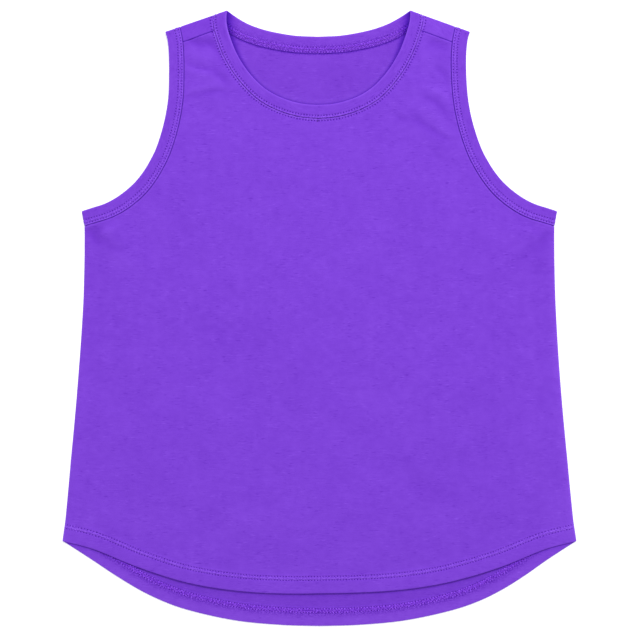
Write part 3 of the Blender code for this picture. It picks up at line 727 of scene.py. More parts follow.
def jersey(name, colour, wrong_side=False, seed=0.0, reach=1.25):
    """Fine slub jersey: columns of V stitches, loose fibre, and thick and thin yarn."""
    mat = bpy.data.materials.new(name)
    g = Graph(nodes_of(mat))
    place = attribute(g, "cloth")
    moved = g.node("ShaderNodeVectorMath", operation="ADD")
    g.put(moved.inputs[0], place)
    moved.inputs[1].default_value = (seed, seed * 0.7, seed)
    place = moved.outputs[0]
    x, y, _ = parts_of(g, place)
    # thick and thin yarn runs along the courses, so the short streaks lie across the garment
    slub = g.noise(g.scaled(place, 0.105, 0.62, 1.0), 1.0, 2.0, 0.55)
    fine = g.noise(g.scaled(place, 0.32, 1.05, 1.0), 1.0, 2.0, 0.55)
    mottle = g.noise(g.scaled(place, 0.105, 0.135, 1.0), 1.0, 3.0, 0.6)
    broad = g.noise(g.scaled(place, 0.026, 0.032, 1.0), 1.0, 2.0, 0.5)
    thick = g.ramp(g.noise(g.scaled(place, 0.125, 0.85, 1.0), 1.0, 1.0, 0.4), 0.60, 0.78)
    thin = g.ramp(g.noise(g.scaled(place, 0.150, 0.80, 3.0), 1.0, 1.0, 0.4), 0.40, 0.24)
    fibre = g.noise(g.scaled(place, 1.0, 1.0, 1.0), 2.6, 3.0, 0.65)
    # columns of stitches, each stitch a V
    wale, course = (0.78, 0.62) if not wrong_side else (0.78, 0.50)
    column = g.math("MULTIPLY", x, 1.0 / wale)
    fold = g.math("ABSOLUTE", g.math("SUBTRACT", g.math("FRACT", column), 0.5))
    tilt = 0.9 if not wrong_side else 0.25
    row = g.math("MULTIPLY_ADD", fold, tilt, g.math("MULTIPLY", y, 1.0 / course))
    loops = g.math("SINE", g.math("MULTIPLY", row, 2.0 * math.pi))
    rib = g.math("SINE", g.math("MULTIPLY", fold, 2.0 * math.pi))
    knit = g.math("MULTIPLY_ADD", loops, 0.5, g.math("MULTIPLY", rib, 0.5 if not wrong_side else 0.2))
    # rows of stitches: needle holes in a sunk row, painted darker as shade in the holes, and between two rows a
    # ridge with a painted highlight or a crossed zone with painted shade under its threads
    u, v, zone = parts_of(g, attribute(g, "seam"))
    uneven = g.noise(g.scaled(attribute(g, "seam"), 0.21, 0.0, 0.0), 1.0, 2.0, 0.6)
    beat = g.math("ABSOLUTE", g.math("SUBTRACT", g.math("FRACT", g.math("MULTIPLY", u, 1.0 / PITCH)), 0.5))
    at = g.ramp(beat, 0.25, 0.40)
    on_row = g.bell(g.math("ABSOLUTE", v), 1.0, 0.28)
    hole = g.times(at, on_row, g.math("MULTIPLY_ADD", g.ramp(uneven, 0.32, 0.62), 0.60, 0.40))
    crossed = g.math("LESS_THAN", zone, -0.001)
    spread = g.math("MULTIPLY_ADD", crossed, reach - 0.50, 0.50)
    low = g.math("MULTIPLY", g.math("GREATER_THAN", zone, -0.15), crossed)
    cross = g.times(g.math("COSINE", g.math("MULTIPLY", u, 2.0 * math.pi / PITCH)),
                    g.math("COSINE", g.math("MULTIPLY", v, 2.0 * math.pi / 1.33)))
    broken = g.math("SUBTRACT", g.noise(g.scaled(place, 0.75, 0.95, 1.0), 1.0, 2.0, 0.6), 0.5)
    between = g.math("DIVIDE", g.math("MULTIPLY_ADD", low, 0.55, v), spread)
    between = g.math("EXPONENT", g.math("MULTIPLY", g.math("MULTIPLY", between, between), -1.0))
    # seams between pieces, with painted shade in the line and a painted highlight on the ridge beside it, the
    # painted highlight on the rim of a fold, and painted shade in corners
    line, edge, rim_highlight = parts_of(g, attribute(g, "lines"))
    near, deep, amount = parts_of(g, attribute(g, "corner"))
    ridge, painted_light_and_shade, _ = parts_of(g, attribute(g, "relief"))
    seam_dark = g.bell(line, 0.0, 0.50)
    seam_light = g.bell(line, 1.2, 0.60)
    near = g.math("MAXIMUM", near, 0.0)
    corner = g.times(deep, g.math("EXPONENT", g.math("MULTIPLY", g.math("MULTIPLY", near, near), -1.0)))

    # the yarn is uneven in patches
    patch = g.ramp(g.noise(g.scaled(place, 0.045, 0.060, 1.0), 1.0, 2.0, 0.5), 0.36, 0.64)
    lively = g.math("MULTIPLY_ADD", patch, 1.5, 0.35)
    streak = g.math("MULTIPLY_ADD", slub, 0.13, g.math("MULTIPLY", fine, 0.07))
    streak = g.math("MULTIPLY_ADD", thick, 0.11, streak)
    streak = g.math("MULTIPLY_ADD", thin, -0.12, streak)
    factor = g.math("MULTIPLY_ADD", g.math("SUBTRACT", streak, 0.104), lively, 1.0)
    factor = g.times(factor, g.swing(mottle, 0.12), g.swing(broad, 0.08))
    factor = g.times(factor, g.math("MULTIPLY_ADD", knit, 0.035, 1.0), g.swing(fibre, 0.04))
    # painted shade in the needle holes, and a little along the sunk rows
    factor = g.times(factor, g.math("MULTIPLY_ADD", hole, g.math("MULTIPLY_ADD", crossed, 0.08, -0.72), 1.0))
    factor = g.times(factor, g.math("MULTIPLY_ADD", on_row, -0.03, 1.0))
    # painted highlight on the ridge between two rows, painted shade on a crossed zone
    factor = g.times(factor, g.math("MULTIPLY_ADD", g.times(zone, between), g.swing(uneven, 0.3), 1.0))
    weave = g.math("MULTIPLY", speckle(g, place), g.math("MULTIPLY_ADD", low, 0.10, 0.48))
    weave = g.math("MULTIPLY_ADD", broken, 1.6, g.math("MULTIPLY_ADD", cross, 0.16, weave))
    factor = g.times(factor, g.math("MULTIPLY_ADD", g.times(crossed, between), weave, 1.0))
    sewn = g.times(g.math("SUBTRACT", 1.0, crossed), g.bell(v, 0.0, 1.45), broken)
    factor = g.times(factor, g.math("MULTIPLY_ADD", sewn, 2.3, 1.0))
    # painted shade in the seam line, painted highlight on the ridge beside it, painted light and shade of
    # creases, sides and flaps, painted highlight on a fold's rim
    dim = g.math("SUBTRACT", 1.0, g.times(seam_dark, amount, g.swing(uneven, 0.3)))
    factor = g.times(factor, g.math("MULTIPLY_ADD", g.times(seam_light, ridge), g.swing(uneven, 0.5), 1.0))
    factor = g.times(factor, painted_light_and_shade)
    factor = g.times(factor, g.math("MULTIPLY_ADD", g.times(rim_highlight, g.bell(edge, 0.5, 1.0)), 1.0, 1.0))
    # painted shade in corners
    dim = g.times(dim, g.math("SUBTRACT", 1.0, corner))
    height = g.math("MULTIPLY_ADD", knit, 0.20, g.math("MULTIPLY", fibre, 0.30))
    height = g.math("MULTIPLY_ADD", slub, 0.55, height)
    height = g.math("MULTIPLY_ADD", thick, 0.45, height)
    height = g.math("MULTIPLY_ADD", hole, -2.2, height)
    rough = g.math("MULTIPLY_ADD", fibre, 0.14, 0.80)
    finish_shader(g, colour, factor, rough, height, 0.00016, 0.04, (0.62, 0.42, 1.0), dim=dim)
    return mat


def thread(name, colour, patchy=0.28, woven=0.0):
    """Two-ply sewing thread; u runs along it and v round it."""
    mat = bpy.data.materials.new(name)
    g = Graph(nodes_of(mat))
    place = attribute(g, "cloth")
    u, v, _ = parts_of(g, place)
    twist = g.math("SINE", g.math("MULTIPLY_ADD", u, 9.0, g.math("MULTIPLY", v, 2.0 * math.pi)))
    fuzz = g.noise(g.scaled(place, 1.0, 1.0, 1.0), 3.5, 2.0, 0.6)
    uneven = g.noise(g.scaled(place, 0.62, 0.0, 1.0), 1.0, 2.0, 0.6)
    factor = g.math("MULTIPLY", g.math("MULTIPLY_ADD", twist, 0.06, 1.0), g.swing(fuzz, 0.10))
    factor = g.math("MULTIPLY", factor, g.math("MAXIMUM", g.swing(uneven, patchy), 0.2))
    near, deep, tone = parts_of(g, attribute(g, "corner"))
    if woven:
        spot = g.node("ShaderNodeVectorMath", operation="ADD")
        g.put(spot.inputs[0], attribute(g, "spot"))
        spot.inputs[1].default_value = (31.0, 31.0 * 0.7, 31.0)
        fleck = g.math("MULTIPLY_ADD", speckle(g, spot.outputs[0]), woven, g.math("ADD", tone, 1.0))
        factor = g.math("MULTIPLY", factor, fleck)
    # painted shade in corners, as on the cloth
    near = g.math("MAXIMUM", near, 0.0)
    corner = g.times(deep, g.math("EXPONENT", g.math("MULTIPLY", g.math("MULTIPLY", near, near), -1.0)))
    dim = g.math("SUBTRACT", 1.0, corner)
    height = g.math("MULTIPLY_ADD", twist, 0.5, fuzz)
    rough = g.math("MULTIPLY_ADD", fuzz, 0.2, 0.55)
    finish_shader(g, colour, factor, rough, height, 0.00006, 0.0, (0.7, 0.5, 1.0), specular=0.0, dim=dim)
    return mat


EXPOSURE = 1.16        # light on the cloth, for the colours below
def shade(r, g, b):
    return (r / EXPOSURE, g / EXPOSURE, b / EXPOSURE)


FRONT_MAT = jersey("slub_jersey_front", shade(0.217, 0.0585, 0.722))
INSIDE_MAT = jersey("slub_jersey_inside", shade(0.208, 0.0545, 0.684), wrong_side=True, seed=31.0, reach=1.9)
BACK_MAT = jersey("slub_jersey_back", shade(0.217, 0.0585, 0.722), seed=57.0)
BAND_MAT = jersey("slub_jersey_bands", shade(0.212, 0.0572, 0.706), seed=83.0, reach=0.8)
THREAD_MAT = thread("sewing_thread", shade(0.315, 0.0930, 0.880), 0.5)
LOOPER_MAT = thread("looper_thread_hem", shade(0.302, 0.0720, 0.905), 0.5, 0.50)
LOOPER_NECK_MAT = thread("looper_thread_neck", shade(0.290, 0.0730, 0.860), 0.5, 0.42)


# ---------------------------------------------------------------- front
def front_outline():
    """Half of the front's edge as (curve, depths of the rows beside it, spacing)."""
    hem = spaced(through(FRONT_HEM, 120), 1.8)
    side = spaced(side_seam(80)[::-1], 2.0)
    arm = offset(ARM_SEAM[::-1], -SEAM_GAP)
    arm = arm[arm[:, 1] < SHOULDER_SEAM_ARM.y - 1.0]
    neck = offset(NECK_SEAM, -SEAM_GAP)
    neck = neck[neck[:, 1] < SHOULDER_SEAM_NECK.y - 1.0]
    drop = SHOULDER_OUT * SEAM_GAP / 2
    corner_arm = np.array([np.interp(SHOULDER_SEAM_ARM.y, ARM_SEAM[::-1, 1], ARM_SEAM[::-1, 0])
                           - SEAM_GAP, SHOULDER_SEAM_ARM.y]) - drop
    corner_neck = np.array([np.interp(SHOULDER_SEAM_NECK.y, NECK_SEAM[::-1, 1], NECK_SEAM[::-1, 0])
                            + SEAM_GAP, SHOULDER_SEAM_NECK.y]) - drop
    neck[-1, 0] = 0.0
    arm = spaced(np.vstack([np.array(UNDERARM) - [0.0, 0.4], arm[2:], corner_arm]), 1.8)
    shoulder = spaced(np.vstack([corner_arm, corner_neck]), 1.6)
    neck = spaced(np.vstack([corner_neck, neck]), 1.6)
    outline = np.vstack([hem[:-1], side[:-1], arm[:-1], shoulder[:-1], neck])
    sections = [
        (hem, (0.9, 1.4, 2.2, 3.4, 5.0, 7.0, 9.4, 11.4, 12.6, 13.2, 13.6, 14.0, 14.6, 15.5, 16.4,
               17.0, 17.4, 17.8, 18.4, 19.2, 20.1, 21.5, 23.6), 2.1),
        (side, (0.9, 1.6, 2.6, 4.2, 6.2, 7.4, 8.6, 10.6), 2.4),
        (arm, (0.8, 1.3, 2.0, 3.0, 4.5, 6.6), 2.1),
        (shoulder, (0.8, 1.3, 2.0, 3.0, 4.6), 1.9),
        (neck, (0.8, 1.2, 1.6, 2.1, 2.5, 2.9, 3.5, 4.6, 6.4), 1.8),
    ]
    return outline, sections


def make_front():
    outline, sections = front_outline()
    plane, faces = fill_half(outline, sections, 2.75)
    x, y = plane[:, 0], plane[:, 1]
    mid, top, under, places = front_shape(x, y)
    over = np.column_stack([x, y, mid + top])
    below = np.column_stack([x, y, mid + under])
    ring = border(faces)
    out = np.column_stack([outward(plane[ring]), np.zeros(len(ring))])
    texture = np.column_stack([x, y, np.zeros(len(x))])
    places["cloth"] = texture
    obj = shell("front_cloth", faces, over, below, out,
                {key: (value, value) for key, value in places.items()}, [FRONT_MAT, INSIDE_MAT])
    print("front_cloth", len(obj.data.polygons))
    return obj


# ---------------------------------------------------------------- back
BACK_LOW = 0.5
BASE_ARM = on_shoulder(ARM_SEAM_TOP[0] - SEAM_GAP)
BASE_NECK = on_shoulder(NECK_SEAM_TOP[0] + SEAM_GAP)
_middle = (BASE_ARM + BASE_NECK) / 2
BACK_HIGH = float(front_height(np.array([_middle[0]]), np.array([_middle[1]]))[0])
BACK_R = (BACK_HIGH - BACK_LOW) / 2
BACK_INSET = BACK_R + CLOTH / 2
FOLD_LINE = np.array(NECK_POINT) - SHOULDER_OUT * BACK_INSET    # a point on the fold's axis


def over_fold(p):
    """How far a point of the unfolded back is past the start of the shoulder fold."""
    q = np.column_stack([np.abs(p[:, 0]), p[:, 1]])
    far = (q - FOLD_LINE) @ SHOULDER_OUT
    return np.where(q[:, 0] > 40.0, far, -1.0)


def unfold(p):
    """Places on the flap, as they lie on the front, laid out flat beyond the shoulder."""
    s = (p - FOLD_LINE) @ SHOULDER_OUT
    return p + (math.pi * BACK_R - 2 * s)[:, None] * SHOULDER_OUT


def fold_back(p):
    """Lying place, height of the middle and outside direction of points of the unfolded back."""
    q = over_fold(p)
    sign = np.where(p[:, 0] < 0, -1.0, 1.0)
    n = np.column_stack([SHOULDER_OUT[0] * sign, np.full(len(p), SHOULDER_OUT[1])])
    turn = math.pi * BACK_R
    angle = np.clip(q / BACK_R, 0.0, math.pi)
    bent = q > 0
    over = q > turn
    shift = np.where(bent, -q + BACK_R * np.sin(angle), 0.0)
    shift = np.where(over, -q - (q - turn), shift)
    lying = p + shift[:, None] * n
    z = BACK_LOW + BACK_R * (1 - np.cos(angle))
    outside = np.column_stack([n * np.sin(angle)[:, None], -np.cos(angle)])
    return lying, z, outside, np.where(over, q - turn, 0.0), bent


def back_shape(plane):
    """Inside and outside faces of the back, from its unfolded places."""
    x, y = plane[:, 0], plane[:, 1]
    lying, z, outside, flap, bent = fold_back(plane)
    d_hem, u_hem = nearest(BACK_HEM_FINE, x, y)
    d_side, _ = nearest(SIDE_FINE, x, y)
    sign = np.where(x < 0, -1.0, 1.0)
    d_back, u_back = nearest(BACK_SEAM, x, y)
    d_arm, u_arm = nearest(ARM_SEAM, x, y)
    # on the flap the seams are those of the front
    d_neck_f, u_neck_f = nearest(NECK_SEAM, lying[:, 0], lying[:, 1])
    d_arm_f, _ = nearest(ARM_SEAM, lying[:, 0], lying[:, 1])
    u_neck_f = u_neck_f * sign
    run = np.column_stack([np.abs(lying[:, 0]), lying[:, 1]])
    d_fold_neck = np.abs((run - np.array(NECK_SEAM_TOP)) @ SHOULDER_RUN)
    d_fold_arm = np.abs((run - np.array(ARM_SEAM_TOP)) @ SHOULDER_RUN)
    on_flap = flap > 0
    d_neck = np.where(on_flap, d_neck_f, np.where(bent, d_fold_neck, d_back))
    d_armhole = np.where(on_flap, d_arm_f, np.where(bent, d_fold_arm, d_arm))
    d_shoulder, _ = nearest(SHOULDER_SEAM_LINE, lying[:, 0], lying[:, 1])
    # the flap lies where the front does
    level = front_height(lying[:, 0], lying[:, 1])
    z = np.where(on_flap, z + (level - z) * step(0.0, 6.0, flap), z)
    z += np.where(on_flap, 0.26 * ripples(lying[:, 0], lying[:, 1], 11, 70.0, 190.0, 16) * 0.25
                  * step(0.0, 6.0, flap), 0.0)
    mid = np.column_stack([lying, z])
    u_hem, u_back = u_hem * sign, u_back * sign
    inner = np.full(len(x), CLOTH / 2)
    flat = ~bent
    # hem turned up inside, its raw edge a step; rows and looper ridge
    folded = 1.0 - step(19.0, 19.6, d_hem)
    inner += np.where(flat, 0.55 * folded, 0.0)
    inner += np.where(flat, 0.10 * bell(d_hem, sum(HEM_ROWS) / 2, 1.3)
                      - 0.16 * (bell(d_hem, HEM_ROWS[0], 0.6) + bell(d_hem, HEM_ROWS[1], 0.6)), 0.0)
    inner += np.where(flat, 0.050 * puckers(u_hem, 31) * bell(d_hem, 15.2, 8.0), 0.0)
    # allowance of the neck seam, turned down inside, with its cut edge below
    inner += np.where(flat, 0.62 * (1.0 - step(3.55, 3.95, d_back)), 0.0)
    inner -= np.where(flat, 0.16 * bell(d_back, BAND_ROW_NECK, 0.5), 0.0)
    inner += np.where(flat, 0.045 * puckers(u_back, 32) * np.exp(-d_back / 6.0), 0.0)
    inner += np.where(flat, 0.07 * ripples(x, y, 33, 35.0, 90.0, 12)
                      * step(1.0, 20.0, np.minimum(d_hem, d_back)), 0.0)
    inner = np.maximum(inner, 0.34)
    # outside: flat on the surface, its rows and seams sunk, creases pressed up from below
    outer = np.full(len(x), CLOTH / 2)
    sunk = np.zeros(len(x))
    sunk += np.where(flat, 0.30 * (bell(d_hem, HEM_ROWS[0], 0.62) + bell(d_hem, HEM_ROWS[1], 0.62)), 0.0)
    sunk += 0.26 * bell(d_neck, BAND_ROW_NECK, 0.58)
    sunk += 0.10 * np.exp(-(d_neck / 0.9) ** 2) + 0.24 * np.exp(-(d_armhole / 0.8) ** 2)
    sunk += np.where(flat, 0.14 * np.exp(-(d_hem / 1.1) ** 2) + 0.10 * np.exp(-(d_side / 1.4) ** 2), 0.0)
    sunk += np.where(on_flap, 0.30 * np.exp(-(d_shoulder / 0.8) ** 2) - 0.14 * bell(d_shoulder, 2.0, 1.0), 0.0)
    sunk += np.where(flat, np.maximum(crease_height(BACK_CREASES, x, y), 0.0), 0.0)
    outer -= sunk
    # creases lift the whole cloth a little
    lift = np.where(flat, np.maximum(crease_height(BACK_CREASES, x, y), 0.0), 0.0)
    inner += lift
    inside_face = mid - outside * inner[:, None]
    outside_face = mid + outside * outer[:, None]
    nothing = np.column_stack([np.zeros(len(x)), np.full(len(x), FAR), np.zeros(len(x))])
    zero, full = np.zeros(len(x)), np.ones(len(x))
    seam_in, seam_out = nothing.copy(), nothing.copy()
    near = flat & (d_hem < 23.0)
    hem_v = rows_place(d_hem, HEM_ROWS)
    # third column: painted shade on the crossed zone inside, a painted highlight on the ridge between the rows
    # outside
    seam_in[near] = np.column_stack([u_hem, hem_v, -0.12 * full])[near]
    seam_out[near] = np.column_stack([u_hem, hem_v, 0.14 * full])[near]
    near = flat & (d_neck < 7.0) & (d_hem > 23.0)
    seam_in[near] = np.column_stack([u_back, d_neck / BAND_ROW_NECK, -0.17 * full])[near]
    seam_out[near] = np.column_stack([u_back, d_neck / BAND_ROW_NECK, zero])[near]
    near = bent & (d_neck < 7.0)
    seam_out[near] = np.column_stack([u_neck_f, d_neck / BAND_ROW_NECK, zero])[near]
    d_line = np.minimum(d_neck, d_armhole)
    d_line = np.where(on_flap, np.minimum(d_line, d_shoulder), d_line)
    amount, ridge = seam_kind(lying[:, 0], d_neck, d_armhole, np.where(on_flap, d_shoulder, FAR))
    # the third column of these is the painted highlight on the rim
    lines_out = np.column_stack([d_line, np.where(flat, d_side, FAR), 0.06 * full])
    lines_in = np.column_stack([FAR * full, np.where(flat, d_side, FAR), 0.04 * full])
    # painted shade on the inside, beside the front neck edge, under the front hem and at the allowance's cut
    # edge
    corner_in = corner_of(lying, flat, d_back)
    corner_out = np.column_stack([FAR * full, zero, amount])
    # painted shade: the flap over the wearer's right shoulder is a little duller, as it lies, and painted light
    # makes the other a little lighter
    painted_light_and_shade = np.where(on_flap, np.where(lying[:, 0] < 0, 0.935, 1.03), 1.0)
    relief_out = np.column_stack([ridge, painted_light_and_shade, zero])
    band = np.where(flat, 0.130 * (1.0 - step(8.0, 11.0, d_hem)), 0.0)
    # painted highlight on the crease ridges, a lighter band along the hem, and the painted light inside the
    # neck edge
    relief_in = np.column_stack([zero, painted_crease_shading(lift) * (1.0 + band + corner_in[:, 2]), zero])
    corner_in[:, 2] = 0.0
    return (inside_face, outside_face, outside,
            {"seam": (seam_in, seam_out), "lines": (lines_in, lines_out),
             "corner": (corner_in, corner_out), "relief": (relief_in, relief_out)})


NECK_HOLE = np.vstack([NECK_EDGE, [[0.0, 345.0], [93.3, 345.0]]])


def corner_of(lying, flat, d_back=None):
    """Painted shade where the inside of the back goes dark, as shade falls there: beside the front neck edge,
    under the front hem and at the cut edge of the neck allowance. Distance over width, and depth; and a painted
    light a little inside the neck edge."""
    x, y = np.abs(lying[:, 0]), lying[:, 1]
    d, along = nearest(NECK_EDGE, x, y, mirror=False)
    share = along / ring_of(NECK_EDGE)
    d = np.where(inside(NECK_HOLE, np.column_stack([x, y])), d, -d)
    high = np.exp(-(share / 0.30) ** 2)
    width = 1.45 + 5.4 * high
    deep = 0.25 + 0.25 * np.exp(-(share / 0.62) ** 2) + 0.15 * high
    kinds = [(d / width, np.where(y > 150.0, deep, 0.0))]
    hem_y = np.interp(x, HEM_FINE[:, 0], HEM_FINE[:, 1]) + tilted(lying[:, 0])
    kinds.append(((hem_y - y) / 2.1, np.where(y < -150.0, 0.25, 0.0)))
    kinds.append(((hem_y - y) / 16.0, np.where(y < -150.0, 0.07, 0.0)))
    if d_back is not None:
        kinds.append((np.abs(d_back - 4.0) / 0.85, np.where(flat & (y > 150.0), 0.40, 0.0)))
    near, deep = kinds[0]
    for n2, d2 in kinds[1:]:
        more = d2 * np.exp(-np.maximum(n2, 0.0) ** 2) > deep * np.exp(-np.maximum(near, 0.0) ** 2)
        near, deep = np.where(more, n2, near), np.where(more, d2, deep)
    deep = np.where(flat, deep, 0.0)
    # painted light a few mm inside the neck edge, against the shade the band casts there
    painted_light_near_neck = np.where(flat & (y > 150.0), 0.11 * bell(d, 3.6, 2.4) * (1.0 - high), 0.0)
    return np.column_stack([near, deep, painted_light_near_neck])


def ring_of(curve):
    return np.linalg.norm(np.diff(curve, axis=0), axis=1).sum()


def back_outline():
    hem = spaced(through(BACK_HEM, 120), 1.8)
    side = spaced(side_seam(80)[::-1], 2.0)
    gap = SEAM_GAP
    arm = offset(ARM_SEAM[::-1], -gap)
    neck = offset(BACK_SEAM, -gap)
    neck[-1, 0] = 0.0
    start_arm, start_neck = BASE_ARM - SHOULDER_OUT * BACK_INSET, BASE_NECK - SHOULDER_OUT * BACK_INSET
    arm = arm[arm[:, 1] < start_arm[1] - 1.0]
    neck = neck[neck[:, 1] < start_neck[1] - 1.0]
    turn = SHOULDER_OUT * math.pi * BACK_R
    ends = {}
    for key, seam, start, end_y, clear in (
            ("arm", ARM_SEAM, start_arm, SHOULDER_SEAM_ARM.y, -gap),
            ("neck", NECK_SEAM, start_neck, SHOULDER_SEAM_NECK.y, gap)):
        line = []
        for share in np.linspace(0.0, 1.0, 14):
            y = start[1] + (end_y - start[1]) * share
            x = np.interp(y, seam[::-1, 1], seam[::-1, 0]) + clear
            x = start[0] + (x - start[0]) * min(1.0, share * 3.0)
            line.append([x, y])
        line[-1] = list(np.array(line[-1]) + SHOULDER_OUT * gap / 2)
        ends[key] = unfold(np.array(line))
    arm = spaced(np.vstack([np.array(UNDERARM) - [0.0, 0.4], arm[2:], start_arm]), 1.8)
    up = spaced(np.vstack([start_arm, start_arm + turn]), 0.6)
    flap_arm = spaced(np.vstack([start_arm + turn, ends["arm"][1:]]), 1.5)
    shoulder = spaced(np.vstack([ends["arm"][-1], ends["neck"][-1]]), 1.6)
    flap_neck = spaced(np.vstack([ends["neck"][:0:-1], start_neck + turn]), 1.4)
    down = spaced(np.vstack([start_neck + turn, start_neck]), 0.6)
    neck = spaced(np.vstack([start_neck, neck]), 1.6)
    outline = np.vstack([hem[:-1], side[:-1], arm[:-1], up[:-1], flap_arm[:-1], shoulder[:-1],
                         flap_neck[:-1], down[:-1], neck])
    across = np.vstack([start_arm + turn, start_neck + turn])
    fold_rows = tuple(k * 0.45 for k in range(0, 9)) + (4.4, 5.2)
    sections = [
        (hem, (0.9, 1.5, 2.6, 4.4, 6.6, 9.4, 11.6, 12.7, 13.2, 13.6, 14.0, 14.6, 15.5, 16.4,
               17.0, 17.4, 17.8, 18.4, 18.9, 19.1, 19.4, 19.7, 20.3, 21.9), 2.1),
        (side, (0.9, 1.6, 2.8, 4.8), 2.6),
        (arm, (0.8, 1.3, 2.0, 3.2, 5.0), 2.2),
        (flap_arm, (0.8, 1.3, 2.0, 3.2), 1.8),
        (flap_neck, (0.8, 1.2, 1.7, 2.3, 2.8, 3.4), 1.6),
        (shoulder, (0.8, 1.3, 2.0, 3.0, 4.4), 1.9),
        (neck, (0.8, 1.4, 2.1, 2.6, 3.1, 3.5, 3.65, 3.85, 4.0, 4.5, 5.6, 7.4), 1.8),
    ]
    return outline, sections, across, fold_rows


def make_back():
    outline, sections, across, fold_rows = back_outline()
    # rows across the shoulder fold are one more section, measured down from its top
    sections.append((across, fold_rows, 1.6))
    plane, faces = fill_half(outline, sections, 3.25)
    inside_face, outside_face, outside, places = back_shape(plane)
    ring = border(faces)
    flat_out = outward(plane[ring])
    ahead, behind = fold_back(plane[ring] + 0.3 * flat_out), fold_back(plane[ring])
    out = np.column_stack([ahead[0] - behind[0], ahead[1] - behind[1]])
    out /= np.maximum(np.linalg.norm(out, axis=1), 1e-9)[:, None]
    texture = np.column_stack([plane, np.zeros(len(plane))])
    places["cloth"] = (texture, texture)
    obj = shell("back_cloth", faces, inside_face, outside_face, out, places,
                [INSIDE_MAT, BACK_MAT])
    low = min(v.co.z for v in obj.data.vertices)
    print("back_cloth", len(obj.data.polygons), "lowest mm", round(low * 1000, 3))
    return obj


# ---------------------------------------------------------------- bands
BAND = 2 * LEAF + SLOT
BAND_LOW = BAND / 2 + 0.02


def band_level(p):
    """Height of a band's middle where it lies with the front."""
    return front_height(p[:, 0], p[:, 1]) + 0.42


def turn_stations(seam_end, edge_end, out, high, low, steps, slide=(0.0, 0.0)):
    """Stations over a fold. slide: how far the edge has moved along the fold for each mm that it
    lies behind it, on the front and on the back."""
    r = (high - low) / 2
    inset = r + BAND / 2
    along = np.array([out[1], -out[0]])
    s, e, n = [], [], []
    for angle in np.linspace(0.0, math.pi, steps):
        depth = inset - r * math.sin(angle)
        shift = -out * depth
        z = low + r * (1 + math.cos(angle))
        turned = 0.5 - 0.5 * math.cos(angle)
        turned = turned * turned * (3.0 - 2.0 * turned)
        moved = (slide[0] + (slide[1] - slide[0]) * turned) * depth
        s.append(np.append(seam_end + shift, z))
        e.append(np.append(edge_end + shift + along * moved, z))
        n.append(np.append(out * math.sin(angle), math.cos(angle)))
    return np.array(s), np.array(e), np.array(n)


def blend_level(seam, edge, high_start, high_end=None):
    """Front stations, brought to the height of the folds at their ends."""
    s_z, e_z = band_level(seam), band_level(edge)
    run = np.concatenate([[0.0], np.cumsum(np.linalg.norm(np.diff(seam, axis=0), axis=1))])
    near = 1.0 - step(0.0, 11.0, run)
    s_z, e_z = s_z + (high_start - s_z) * near, e_z + (high_start - e_z) * near
    if high_end is not None:
        near = 1.0 - step(0.0, 13.0, run[-1] - run)
        s_z, e_z = s_z + (high_end - s_z) * near, e_z + (high_end - e_z) * near
    return s_z, e_z


def clear_of_turn(seam, edge, end_seam, end_edge, out, depth):
    """Which stations lie behind the start of a fold."""
    return (((seam - end_seam) @ out) < -depth) & (((edge - end_edge) @ out) < -depth)


def neck_stations():
    """The neck band's middle surface, once round, from the centre of the front."""
    high = float(band_level(np.array([NECK_POINT], dtype=float))[0])
    high = max(high, float(band_level(NECK_SEAM_TOP[None])[0]))
    r = (high - BAND_LOW) / 2
    ts, te, tn = turn_stations(NECK_SEAM_TOP, np.array(NECK_POINT), SHOULDER_OUT, high, BAND_LOW, 15,
                               slide=(0.33, -0.66))
    depth = r + BAND / 2 + 0.5
    keep = clear_of_turn(NECK_SEAM, NECK_EDGE, NECK_SEAM_TOP, np.array(NECK_POINT), SHOULDER_OUT, depth)
    fs, fe = NECK_SEAM[keep], NECK_EDGE[keep]
    sz, ez = blend_level(fs, fe, high)
    fs, fe = np.column_stack([fs, sz])[::-1], np.column_stack([fe, ez])[::-1]
    keep = clear_of_turn(BACK_SEAM, BACK_EDGE, NECK_SEAM_TOP, np.array(NECK_POINT), SHOULDER_OUT, depth)
    bs, be = BACK_SEAM[keep], BACK_EDGE[keep]
    low = np.full(len(bs), BAND_LOW)
    bs, be = np.column_stack([bs, low]), np.column_stack([be, low])
    s, e = np.vstack([fs, ts, bs]), np.vstack([fe, te, be])
    n = np.vstack([np.tile([0, 0, 1.0], (len(fs), 1)), tn, np.tile([0, 0, -1.0], (len(bs), 1))])
    flip = [-1.0, 1.0, 1.0]
    return (np.vstack([s, s[-2:0:-1] * flip]), np.vstack([e, e[-2:0:-1] * flip]),
            np.vstack([n, n[-2:0:-1] * flip]))


